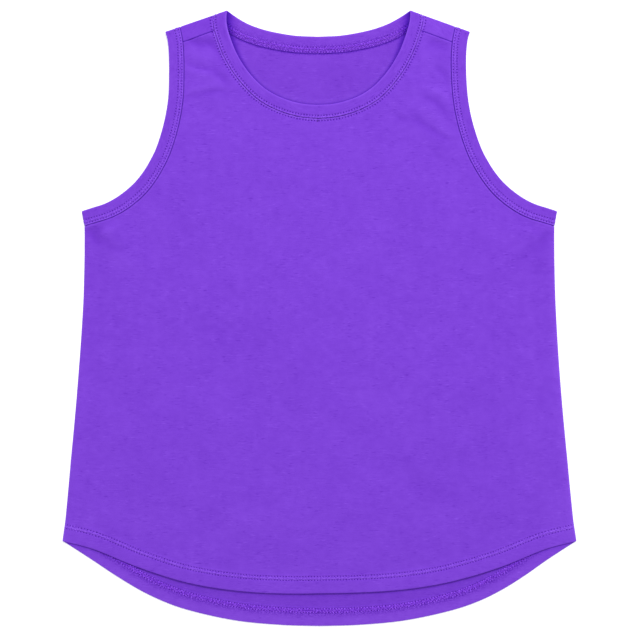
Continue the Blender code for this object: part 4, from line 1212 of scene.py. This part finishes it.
def arm_stations(hand):
    high = float(band_level(np.array([SHOULDER_POINT], dtype=float))[0])
    side_high = BAND_LOW + BAND + 0.14
    run = np.array(UNDERARM) - np.array(ARMHOLE_EDGE[-1])
    run /= np.linalg.norm(run)
    side_out = np.array([-run[1], run[0]])
    top = turn_stations(ARM_SEAM_TOP, np.array(SHOULDER_POINT), SHOULDER_OUT, high, BAND_LOW, 13)
    side = turn_stations(np.array(UNDERARM), np.array(ARMHOLE_EDGE[-1]), side_out, side_high,
                         BAND_LOW, 11)
    keep = clear_of_turn(ARM_SEAM, ARM_EDGE, ARM_SEAM_TOP, np.array(SHOULDER_POINT), SHOULDER_OUT,
                         (high - BAND_LOW) / 2 + BAND / 2 + 0.5)
    keep &= clear_of_turn(ARM_SEAM, ARM_EDGE, np.array(UNDERARM), np.array(ARMHOLE_EDGE[-1]),
                          side_out, (side_high - BAND_LOW) / 2 + BAND / 2 + 0.5)
    seam, edge = ARM_SEAM[keep], ARM_EDGE[keep]
    sz, ez = blend_level(seam, edge, high, side_high)
    up = np.tile([0, 0, 1.0], (len(seam), 1))
    low = np.full(len(seam), BAND_LOW)
    fs, fe = np.column_stack([seam, sz]), np.column_stack([edge, ez])
    bs, be = np.column_stack([seam, low])[::-1], np.column_stack([edge, low])[::-1]
    s = np.vstack([fs, side[0], bs, top[0][::-1]])
    e = np.vstack([fe, side[1], be, top[1][::-1]])
    n = np.vstack([up, side[2], -up, top[2][::-1]])
    flip = [hand, 1.0, 1.0]
    return s * flip, e * flip, n * flip


def ring_length(s):
    steps = np.linalg.norm(np.roll(s, -1, axis=0) - s, axis=1)
    return np.concatenate([[0.0], np.cumsum(steps)[:-1]]), steps.sum()


def even_ring(s, e, n, spacing):
    """The same ring with its stations evenly spaced, and closer in its folds."""
    along, total = ring_length((s + e) / 2)
    turn = 1.0 - np.abs((n * np.roll(n, -1, axis=0)).sum(1))
    weight = np.linalg.norm(np.roll(s, -1, axis=0) - s + np.roll(e, -1, axis=0) - e, axis=1) / 2
    weight = weight + 9.0 * np.sqrt(np.maximum(turn, 0.0))
    at = np.concatenate([[0.0], np.cumsum(weight)])
    count = int(at[-1] / spacing)
    want = np.linspace(0.0, at[-1], count, endpoint=False)

    def pick(a):
        a = np.vstack([a, a[:1]])
        return np.column_stack([np.interp(want, at, a[:, i]) for i in range(3)])

    s, e, n = pick(s), pick(e), pick(n)
    return s, e, n / np.linalg.norm(n, axis=1)[:, None]


def smoothed_dirs(s, e):
    d = e - s
    width = np.linalg.norm(d, axis=1)
    return d / width[:, None], width


def band_profile(rows, width):
    """Round the folded strip: (distance from the seam, height off its middle, which face)."""
    mid = (LEAF + SLOT) / 2
    r_out, r_in = mid + LEAF / 2, mid - LEAF / 2
    near = sorted({0.35, 0.8, 1.3, 1.9, 2.6, 3.2, 4.0, 5.0, 6.0, 6.6, 7.4, 8.8, 10.4, 11.8,
                   *[r - 0.4 for r in rows], *rows, *[r + 0.4 for r in rows]})
    near = [a for a in near if a < width - r_out - 0.4] + [width - r_out - 0.15]
    points = [(0.0, mid + LEAF * 0.18, 0), (0.12, mid + LEAF * 0.38, 0)]
    points += [(a, r_out, 0) for a in near]
    for k in range(1, 9):
        a = math.pi * k / 9
        points.append((width - r_out + r_out * math.sin(a), r_out * math.cos(a), 0 if k < 5 else 1))
    points += [(a, -r_out, 1) for a in near[::-1]]
    points += [(0.12, -mid - LEAF * 0.38, 1), (0.0, -mid - LEAF * 0.18, 1),
               (0.1, -mid + LEAF * 0.34, 2)]
    inner = np.linspace(0.5, width - r_out, 7)
    points += [(a, -r_in, 2) for a in inner]
    for k in range(1, 4):
        a = math.pi * (1 - k / 4)
        points.append((width - r_out + r_in * math.sin(a), r_in * math.cos(a), 2))
    points += [(a, r_in, 2) for a in inner[::-1]] + [(0.1, mid - LEAF * 0.34, 2)]
    return points


def band_offset(a, h, face, u, rows, width, seed):
    """Height off a band's middle surface at one place of its profile, with its relief."""
    ease = np.ones(len(u))
    if face == 2:
        return h * ease
    sign = 1.0 if face == 0 else -1.0
    relief = -0.28 * sum(bell(a, r, 0.55) for r in rows)
    if len(rows) == 2:
        relief += 0.20 * bell(a, sum(rows) / 2, 1.25) + 0.16 * bell(a, 1.1, 0.55)
    else:
        relief += 0.18 * bell(a, 1.2, 0.7)
    relief -= (0.30 if len(rows) == 2 else 0.08) * math.exp(-(a / 0.5) ** 2)
    relief += 0.06 * bell(a, width - 1.9, 1.2) - 0.05 * bell(a, width - 4.2, 1.6)
    fade = step(0.0, 1.5, np.array([width - a]))[0]
    wave = 0.055 * puckers(u, seed, 4.0, 15.0) * bell(a, rows[-1], 4.0)
    wave = wave + 0.045 * puckers(u + 3.0 * a, seed + 1, 11.0, 34.0)
    if face == 1:
        relief, wave = 0.6 * relief, 0.5 * wave
    return h + sign * (relief + wave) * fade


def band_point(s, e, n, u, a, h):
    d, width = smoothed_dirs(s, e)
    return s + d * np.atleast_1d(a)[:, None] + n * np.atleast_1d(h)[:, None]


def make_band(name, stations, nominal, rows, seed, materials, flip, rim_highlight):
    s, e, n = even_ring(*stations, 1.05)
    along, total = ring_length(s)
    dirs, widths = smoothed_dirs(s, e)
    profile = band_profile(rows, nominal)
    low_side = n[:, 2] < -0.5          # lies on the surface: its outside stays flat there
    verts, tex, seam, lines, corner, relief = [], [], [], [], [], []
    # painted shade in the seam line and painted highlight on the ridge beside it
    dark_line, light_line = (0.30, 0.30) if len(rows) == 2 else (-0.04, 0.13)
    beat = PITCH * int(total / PITCH) / total          # a whole number of stitches goes round
    for k, (a, h, face) in enumerate(profile):
        off = band_offset(a, h, face, along, rows, nominal, seed)
        if face == 0:
            off = np.where(low_side, np.minimum(off, h), off)
        reach = a * widths / nominal
        place = s + dirs * reach[:, None] + n * np.atleast_1d(off)[:, None]
        verts.append(place)
        across = a if face == 0 else (2 * nominal - a if face == 1 else a + 40.0)
        tex.append(np.column_stack([along, np.full(len(s), across), np.zeros(len(s))]))
        v = rows_place(a, rows) if len(rows) == 2 else a / rows[0]
        # zone: a painted highlight on the ridge between an armhole band's two rows, painted shade on the
        # crossed zone inside the neck band
        zone = (0.12 if len(rows) == 2 else 0.0) if face == 0 else (-0.17 if len(rows) == 1 else 0.0)
        if face == 2:
            v = FAR
        seam.append(np.column_stack([along * beat, np.full(len(s), v), np.full(len(s), zone)]))
        # lines: distance from the seam, from the edge, and the painted highlight on the edge's rim
        lines.append(np.column_stack([np.full(len(s), a if face == 0 else FAR),
                                      np.full(len(s), nominal - a), np.full(len(s), rim_highlight)]))
        # painted shade where the inside of the neck band lies on the back
        if face == 1 and len(rows) == 1:
            dark = corner_of(place, n[:, 2] < 0.2)
            dark[:, 1] *= np.clip(-n[:, 2] + 0.2, 0.0, 1.0)
        else:
            dark = np.column_stack([np.full(len(s), FAR), np.zeros(len(s)), np.zeros(len(s))])
        left = place[:, 0] < 0
        # the seam line's painted shade, stronger on the +X side of an armhole band
        dark[:, 2] = dark_line + (np.where(left, -0.02, 0.14) if len(rows) == 2 else 0.0)
        corner.append(dark)
        painted_highlight, tone = np.full(len(s), light_line), np.ones(len(s))
        if len(rows) == 1:
            # painted highlight on the ridge beside the seam; painted highlight just before the edge and painted
            # shade behind it, as of a dip, where the band comes up to the wearer's right shoulder
            painted_highlight = np.where(left, 0.20, 0.22)
            dip = bell(place[:, 1], 292.0, 13.0) * np.where(left, 1.0, 0.0) * step(0.2, 0.8, n[:, 2])
            tone += dip * (0.17 * bell(a, nominal - 0.6, 1.1) - 0.13 * bell(a, nominal - 4.6, 3.0))
            tone += 0.04 if face == 1 else 0.0
        relief.append(np.column_stack([painted_highlight, tone, np.zeros(len(s))]))
    count, ring = len(s), len(profile)
    verts = np.array(verts).transpose(1, 0, 2).reshape(-1, 3)
    tex = np.array(tex).transpose(1, 0, 2).reshape(-1, 3)
    seam = np.array(seam).transpose(1, 0, 2).reshape(-1, 3)
    lines = np.array(lines).transpose(1, 0, 2).reshape(-1, 3)
    corner = np.array(corner).transpose(1, 0, 2).reshape(-1, 3)
    relief = np.array(relief).transpose(1, 0, 2).reshape(-1, 3)
    i, k = np.meshgrid(np.arange(count), np.arange(ring), indexing="ij")
    a = (i * ring + k).ravel()
    b = (i * ring + (k + 1) % ring).ravel()
    c = (((i + 1) % count) * ring + (k + 1) % ring).ravel()
    d = (((i + 1) % count) * ring + k).ravel()
    quads = np.column_stack([a, b, c, d])
    if flip:
        quads = quads[:, ::-1]
    kinds = np.array([p[2] for p in profile])
    index = np.tile(np.where(kinds == 0, 0, 1), count)
    obj = add_object(name, verts, quads, materials,
                     {"cloth": tex, "seam": seam, "lines": lines, "corner": corner,
                      "relief": relief}, index)
    # faces must point out of the cloth
    m = obj.data
    m.calc_loop_triangles()
    tri = np.array([t.vertices[:] for t in m.loop_triangles])
    v = np.array([p.co[:] for p in m.vertices])
    vol = (v[tri[:, 0]] * np.cross(v[tri[:, 1]], v[tri[:, 2]])).sum() / 6
    if vol < 0:
        m.flip_normals()
    print(name, len(quads) * 2, "length mm", round(total, 1), "area share",
          round(sum(p.area for p in m.polygons) / 2 / (total * 2 * nominal * 1e-6), 3))
    return obj, (s, e, n, along, total, dirs, widths)


def on_band(ring, a, rows, nominal, seed, face, lift):
    """A line round a band at one distance from its seam, on its outside (0) or inside (1)."""
    s, e, n, along, total, dirs, widths = ring
    h = BAND / 2 if face == 0 else -BAND / 2
    off = band_offset(a, h, face, along, rows, nominal, seed)
    if face == 0:
        off = np.where(n[:, 2] < -0.5, np.minimum(off, h), off)
    sign = 1.0 if face == 0 else -1.0
    return s + dirs * (a * widths / nominal)[:, None] + n * (off + sign * lift)[:, None], n * sign


# ---------------------------------------------------------------- stitches
def stitch_mesh(path, up, closed, length=1.75, radius=0.25, seed=1, u=None):
    """Short threads lying along a path, one for each stitch; each end dives into the cloth.

    u is the seam's own measure along the path; the needle holes stand at whole pitches of it.
    """
    if closed:
        path, up = np.vstack([path, path[:1]]), np.vstack([up, up[:1]])
    steps = np.linalg.norm(np.diff(path, axis=0), axis=1)
    along = np.concatenate([[0.0], np.cumsum(steps)])
    count = int(along[-1] / PITCH)
    pitch = along[-1] / count if closed else PITCH
    rng = np.random.RandomState(seed)
    k = np.arange(count)
    centre = (k + 0.5) * pitch
    if u is not None:
        if u[-1] < u[0]:
            u, along_u = u[::-1], along[::-1]
        else:
            along_u = along
        rising = np.concatenate([[True], np.diff(np.maximum.accumulate(u)) > 1e-6])
        u, along_u = u[rising], along_u[rising]
        k = np.arange(math.ceil(u[0] / PITCH), math.floor(u[-1] / PITCH))
        centre = np.interp((k + 0.5) * PITCH, u, along_u)
        count = len(centre)
    centre = centre + rng.uniform(-0.07, 0.07, count)
    margin = length * 0.6
    keep = (centre > margin) & (centre < along[-1] - margin) if not closed else centre > -1
    centre = centre[keep]
    k = k[keep]
    count = len(centre)
    size = 1.0 + rng.uniform(-0.10, 0.10, count)
    cant = rng.uniform(-0.10, 0.10, count)
    ts = np.array([-1.0, -0.82, -0.5, 0.0, 0.5, 0.82, 1.0])
    swell = np.array([0.35, 0.78, 0.98, 1.0, 0.98, 0.78, 0.35])
    dive = np.array([-0.34, -0.13, 0.0, 0.03, 0.0, -0.13, -0.34])
    sides = 7
    ang = np.linspace(0, 2 * math.pi, sides, endpoint=False)
    at = centre[:, None] + ts[None] * (length / 2) * size[:, None]

    def pick(a):
        return np.stack([np.interp(at, along, a[:, i]) for i in range(3)], axis=-1)

    p, n = pick(path), pick(up)
    n /= np.linalg.norm(n, axis=-1)[..., None]
    t = np.gradient(p, axis=1)
    t /= np.maximum(np.linalg.norm(t, axis=-1)[..., None], 1e-9)
    b = np.cross(t, n)
    b /= np.maximum(np.linalg.norm(b, axis=-1)[..., None], 1e-9)
    p = p + n * dive[None, :, None] + b * (cant[:, None] * ts[None])[..., None]
    r = radius * size[:, None] * swell[None]
    ring = (p[:, :, None] + b[:, :, None] * (r[..., None] * np.cos(ang))[..., None]
            + n[:, :, None] * (0.78 * r[..., None] * np.sin(ang))[..., None])
    verts = ring.reshape(-1, 3)
    u = np.repeat(at[..., None], sides, axis=2).reshape(-1)
    v = np.tile(ang / (2 * math.pi), count * len(ts))
    tex = np.column_stack([u, v, np.repeat(k * 0.37, len(ts) * sides)])
    faces = []
    base = np.arange(count) * len(ts) * sides
    for j in range(len(ts) - 1):
        for m in range(sides):
            a0 = base + j * sides + m
            a1 = base + j * sides + (m + 1) % sides
            b0, b1 = a0 + sides, a1 + sides
            faces += [np.column_stack([a0, a1, b1]), np.column_stack([a0, b1, b0])]
    for end, order in ((0, 1), (len(ts) - 1, -1)):
        for m in range(1, sides - 1):
            tri = np.column_stack([base + end * sides, base + end * sides + m + 1,
                                   base + end * sides + m])
            faces.append(tri[:, ::order])
    return verts, np.vstack(faces), tex


def tube_mesh(path, up, radius, tone, sides=6):
    """One thread along a path."""
    t = np.gradient(path, axis=0)
    t /= np.maximum(np.linalg.norm(t, axis=1)[:, None], 1e-9)
    b = np.cross(t, up)
    b /= np.maximum(np.linalg.norm(b, axis=1)[:, None], 1e-9)
    ang = np.linspace(0, 2 * math.pi, sides, endpoint=False)
    ring = (path[:, None] + b[:, None] * (radius * np.cos(ang))[None, :, None]
            + up[:, None] * (0.75 * radius * np.sin(ang))[None, :, None])
    count = len(path)
    along = np.concatenate([[0.0], np.cumsum(np.linalg.norm(np.diff(path, axis=0), axis=1))])
    tex = np.column_stack([np.repeat(along, sides), np.tile(ang / (2 * math.pi), count),
                           np.repeat(tone, sides)])
    i, m = np.meshgrid(np.arange(count - 1), np.arange(sides), indexing="ij")
    a0, a1 = (i * sides + m).ravel(), (i * sides + (m + 1) % sides).ravel()
    b0, b1 = a0 + sides, a1 + sides
    faces = np.vstack([np.column_stack([a0, a1, b1]), np.column_stack([a0, b1, b0])])
    caps = []
    for m in range(1, sides - 1):
        caps.append([0, m + 1, m])
        last = (count - 1) * sides
        caps.append([last, last + m, last + m + 1])
    return ring.reshape(-1, 3), np.vstack([faces, caps]), tex


def looper_paths(row_a, row_b, up_a, measured, measure, pitch=PITCH):
    """Threads that cross from row to row on the inside of a twin-needle seam, and their tone:
    they go light and dark in step with the stitches, by the seam's own measure."""
    def at(row, where):
        steps = np.linalg.norm(np.diff(row[:, :3], axis=0), axis=1)
        along = np.concatenate([[0.0], np.cumsum(steps)])
        return np.column_stack([np.interp(where * along[-1], along, column) for column in row.T])

    length = np.linalg.norm(np.diff(row_a, axis=0), axis=1).sum()
    count = int(length / pitch)
    counted = at(np.column_stack([measured, np.asarray(measure)]), np.arange(2 * count + 1) / (2 * count))[:, 3]
    paths = []
    for phase, sway in ((0.0, 0.16), (1.0, -0.10)):
        k = np.arange(2 * count)
        where = (k + 0.5) / (2 * count)
        a, b = at(row_a, where), at(row_b, where)
        ua = at(up_a, where)
        left = ((k + phase) % 2 == 0)
        p = np.where(left[:, None], a, b)
        fine = np.linspace(0, len(p) - 1, 5 * len(p))
        base = np.floor(fine).astype(int).clip(0, len(p) - 2)
        f = fine - base
        ease = f * f * (3 - 2 * f)
        path = p[base] + (p[base + 1] - p[base]) * (0.5 * f + 0.5 * ease)[:, None]
        u = ua[base] + (ua[base + 1] - ua[base]) * f[:, None]
        u /= np.linalg.norm(u, axis=1)[:, None]
        arch = (0.17 + 0.10 * (phase > 0)) * np.sin(math.pi * f)
        across = np.where(left[base], -1.0, 1.0) * (1.0 - 2.0 * ease)
        stand = np.interp(fine + 0.5, np.arange(2 * count + 1), counted)
        tone = 0.16 * np.cos(2 * math.pi * stand / pitch) * np.cos(2 * math.pi * across / 1.33)
        paths.append((path + u * arch[:, None], u, tone))
    return paths


def joined(name, parts, mat, shaded=False):
    verts, faces, tex = [], [], []
    base = 0
    for v, f, t in parts:
        verts.append(v)
        faces.append(f + base)
        tex.append(t)
        base += len(v)
    verts, held = np.vstack(verts), {"cloth": np.vstack(tex)}
    if shaded:
        # painted shade in corners, as on the cloth under the threads; the third column carries the threads'
        # light and dark flecks
        held["corner"] = corner_of(verts, np.ones(len(verts), dtype=bool))
        held["corner"][:, 2] = np.where(np.abs(held["cloth"][:, 2]) <= 0.55, held["cloth"][:, 2], 0.22)
        held["cloth"][:, 2] = 0.0
        held["spot"] = verts * [1.0, 1.0, 0.0]
    obj = add_object(name, verts, np.vstack(faces), [mat], held)
    print(name, len(obj.data.polygons))
    return obj


def whole(half, reverse_first=True):
    """A row over both halves, from a row over the half with x above 0."""
    return np.vstack([half[::-1] * [-1.0, 1.0], half[1:]]) if reverse_first else half


def within_sides(half, clear=1.0):
    """The part of a row that lies inside the side seams."""
    side_x = np.interp(-half[:, 1], -SIDE_FINE[:, 1], SIDE_FINE[:, 0])
    return half[half[:, 0] < side_x - clear]


def on_front(row, lift=0.02):
    mid, top, _, places = front_shape(row[:, 0], row[:, 1])
    up = np.tile([0.0, 0.0, 1.0], (len(row), 1))
    return np.column_stack([row, mid + top + lift]), up, places["seam"][:, 0]


def on_back(plane, inside_face, lift=0.02):
    """A row on the back, from its unfolded places."""
    inner, outer, out, places = back_shape(plane)
    u = places["seam"][0 if inside_face else 1][:, 0]
    if inside_face:
        return inner - out * lift, -out, u
    return outer + out * lift, out, u


def make_stitches(neck_ring, arm_rings):
    made = {}
    parts = []
    hem_line = spaced(HEM_FINE, 1.0)
    for k, depth in enumerate(HEM_ROWS):
        path, up, u = on_front(whole(within_sides(offset(hem_line, -depth))))
        parts.append(stitch_mesh(path, up, False, seed=40 + k, u=u))
    neck = offset(NECK_SEAM, -BAND_ROW_NECK)
    neck = neck[neck[:, 1] < SHOULDER_SEAM_NECK.y - 1.2]
    neck[-1, 0] = 0.0
    neck = spaced(neck, 0.9)
    # each half is counted from its own shoulder, as its needle holes are
    for side in (1.0, -1.0):
        path, up, u = on_front(neck * [side, 1.0] + [side * 1e-6, 0.0])
        parts.append(stitch_mesh(path, up, False, seed=44, u=np.abs(u)))
    made["front"] = joined("front_stitches", parts, THREAD_MAT)

    parts = []
    back_line = spaced(BACK_HEM_FINE, 1.0)
    hem = whole(within_sides(offset(back_line, -HEM_ROWS[0])))
    hem2 = whole(within_sides(offset(back_line, -HEM_ROWS[1])))
    for k, r in enumerate((hem, hem2)):
        path, up, u = on_back(r, False, 0.0)
        parts.append(stitch_mesh(path, up, False, seed=50 + k, u=u))
    neck = offset(BACK_SEAM, -BAND_ROW_NECK)
    neck[-1, 0] = 0.0
    neck = neck[neck[:, 1] < NECK_SEAM_TOP[1] - 4.0]
    row = np.vstack([neck[:-1], neck[::-1] * [-1.0, 1.0]])
    row = spaced(row, 0.9)
    path, up, _ = on_back(row, False, 0.0)
    parts.append(stitch_mesh(path, up, False, seed=53))
    # over each flap, beside the neck seam
    seam = NECK_SEAM[(NECK_SEAM[:, 1] > SHOULDER_SEAM_NECK.y + 1.6)
                     & (((NECK_SEAM - NECK_SEAM_TOP) @ SHOULDER_OUT) < -BACK_INSET + 0.3)]
    flap = unfold(spaced(offset(seam, -BAND_ROW_NECK), 0.7))
    for side in (1.0, -1.0):
        path, up, u = on_back(flap * [side, 1.0], False, 0.02)
        parts.append(stitch_mesh(path, up, False, seed=54, u=np.abs(u)))
    made["back"] = joined("back_stitches", parts, THREAD_MAT)

    # loopers on the inside of the back: at the hem, and across the neck seam
    parts = []
    pa, ua, u_a = on_back(hem, True, 0.16)
    pb, ub, u_b = on_back(hem2, True, 0.16)
    for path, up, tone in looper_paths(pa, pb, ua, pa, u_a):
        parts.append(tube_mesh(path, up, 0.26, tone))
    for p, n, u, seed in ((pa, ua, u_a, 60), (pb, ub, u_b, 61)):
        parts.append(stitch_mesh(p, n, False, length=1.7, radius=0.42, seed=seed, u=u))
    made["back_loopers"] = joined("back_hem_loopers", parts, LOOPER_MAT, True)

    parts = []
    pb, ub, u_b = on_back(row, True, 0.16)
    pa, ua = on_band(neck_ring, BAND_ROW_NECK, (BAND_ROW_NECK,), NECK_BAND_WIDTH, 71, 1, 0.14)
    low = neck_ring[2][:, 2] < -0.9
    idx = np.where(low)[0]
    pa, ua = pa[idx], ua[idx]
    keep = np.abs(pa[:, 0]) <= np.abs(pb[:, 0]).max() - 0.5
    pa, ua = pa[keep], ua[keep]
    if pa[0, 0] < pb[0, 0] and pa[0, 0] < 0:
        pa, ua = pa[::-1], ua[::-1]
    for path, up, tone in looper_paths(pa, pb, ua, pb, u_b):
        parts.append(tube_mesh(path, up, 0.27, tone))
    for p, n, seed in ((pa, ua, 63), (pb, ub, 64)):
        parts.append(stitch_mesh(p, n, False, length=1.7, radius=0.42, seed=seed))
    made["neck_loopers"] = joined("back_neck_loopers", parts, LOOPER_NECK_MAT, True)

    p, n = on_band(neck_ring, BAND_ROW_NECK, (BAND_ROW_NECK,), NECK_BAND_WIDTH, 71, 0, 0.02)
    made["neck"] = joined("neck_band_stitches", [round_band(neck_ring, p, n, 65)], THREAD_MAT)
    for hand, ring, seed in arm_rings:
        parts = []
        for k, a in enumerate(BAND_ROWS_ARM):
            p, n = on_band(ring, a, BAND_ROWS_ARM, ARMHOLE_BAND_WIDTH, seed, 0, 0.02)
            parts.append(round_band(ring, p, n, 66 + k))
        made[hand] = joined("armhole_%s_stitches" % hand, parts, THREAD_MAT)
    return made


def round_band(ring, path, up, seed):
    """Stitches all round a band, in step with its needle holes."""
    along, total = ring[3], ring[4]
    u = np.append(along, total) * PITCH * int(total / PITCH) / total
    path, up = np.vstack([path, path[:1]]), np.vstack([up, up[:1]])
    return stitch_mesh(path, up, False, seed=seed, u=u)


# ---------------------------------------------------------------- build
front = make_front()
back = make_back()
neck_band, neck_ring = make_band("neck_band_cloth", neck_stations(), NECK_BAND_WIDTH,
                                 (BAND_ROW_NECK,), 71, [BAND_MAT, INSIDE_MAT], False, 0.17)
arm_left, ring_left = make_band("armhole_band_left_cloth", arm_stations(1.0), ARMHOLE_BAND_WIDTH,
                                BAND_ROWS_ARM, 75, [BAND_MAT, INSIDE_MAT], False, 0.04)
arm_right, ring_right = make_band("armhole_band_right_cloth", arm_stations(-1.0),
                                  ARMHOLE_BAND_WIDTH, BAND_ROWS_ARM, 79, [BAND_MAT, INSIDE_MAT],
                                  True, 0.08)
stitches = make_stitches(neck_ring, (("left", ring_left, 75), ("right", ring_right, 79)))

for piece, node, slot in (
        (front, "front", "jersey_front"), (back, "back", "jersey_back"),
        (neck_band, "neck_band", "jersey_neck_band"),
        (arm_left, "armhole_band_left", "jersey_armhole_bands"),
        (arm_right, "armhole_band_right", "jersey_armhole_bands")):
    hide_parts(node)
    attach(piece, "root")
for key, slot in (("front", "jersey_front"), ("back", "jersey_back"),
                  ("back_loopers", "jersey_back"), ("neck_loopers", "jersey_neck_band"),
                  ("neck", "jersey_neck_band"), ("left", "jersey_armhole_bands"),
                  ("right", "jersey_armhole_bands")):
    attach(stitches[key], "root")

# ---------------------------------------------------------------- studio
floor_mat = bpy.data.materials.new("pale_floor")
g = Graph(nodes_of(floor_mat))
where = g.node("ShaderNodeTexCoord").outputs["Object"]
grain = g.noise(where, 60.0, 3.0, 0.6)
finish_shader(g, (0.93, 0.93, 0.93), g.swing(grain, 0.004), 0.9, grain, 0.00002, 0.0, (1, 1, 1),
              glow=0.30, powers=(1.0, 1.0, 1.0))
n = 24
u, v = np.meshgrid(np.linspace(-4000, 4000, n), np.linspace(-4000, 4000, n), indexing="ij")
plane = np.column_stack([u.ravel(), v.ravel(), np.full(n * n, -0.05)])
i, j = np.meshgrid(np.arange(n - 1), np.arange(n - 1), indexing="ij")
a = (i * n + j).ravel()
floor = add_object("studio_floor", plane, np.column_stack([a, a + n, a + n + 1, a + 1]),
                   [floor_mat], {})

world = bpy.data.worlds.new("studio_white")
world.use_nodes = True
world.node_tree.nodes["Background"].inputs[0].default_value = (1.0, 1.0, 1.0, 1.0)
world.node_tree.nodes["Background"].inputs[1].default_value = 0.72
bpy.context.scene.world = world


def area_light(name, place, target, size, watts):
    data = bpy.data.lights.new(name, "AREA")
    data.shape = "DISK"
    data.size = size
    data.energy = watts
    obj = bpy.data.objects.new(name, data)
    obj.location = place
    obj.rotation_euler = (Vector(target) - Vector(place)).to_track_quat("-Z", "Y").to_euler()
    bpy.context.scene.collection.objects.link(obj)


area_light("key", (0.52, 2.30, 2.65), (0.0, 0.02, 0.0), 1.10, 75.0)

cam_data = bpy.data.cameras.new("camera")
cam_data.lens = 80.0
cam_data.sensor_width = 36.0
cam_data.clip_start = 0.01
camera = bpy.data.objects.new("camera", cam_data)
camera.location = (0.00076, -0.00204, 1.4507 + 0.002)
bpy.context.scene.collection.objects.link(camera)
bpy.context.scene.camera = camera
bpy.context.scene.view_settings.view_transform = "Standard"
bpy.context.scene.view_settings.look = "None"
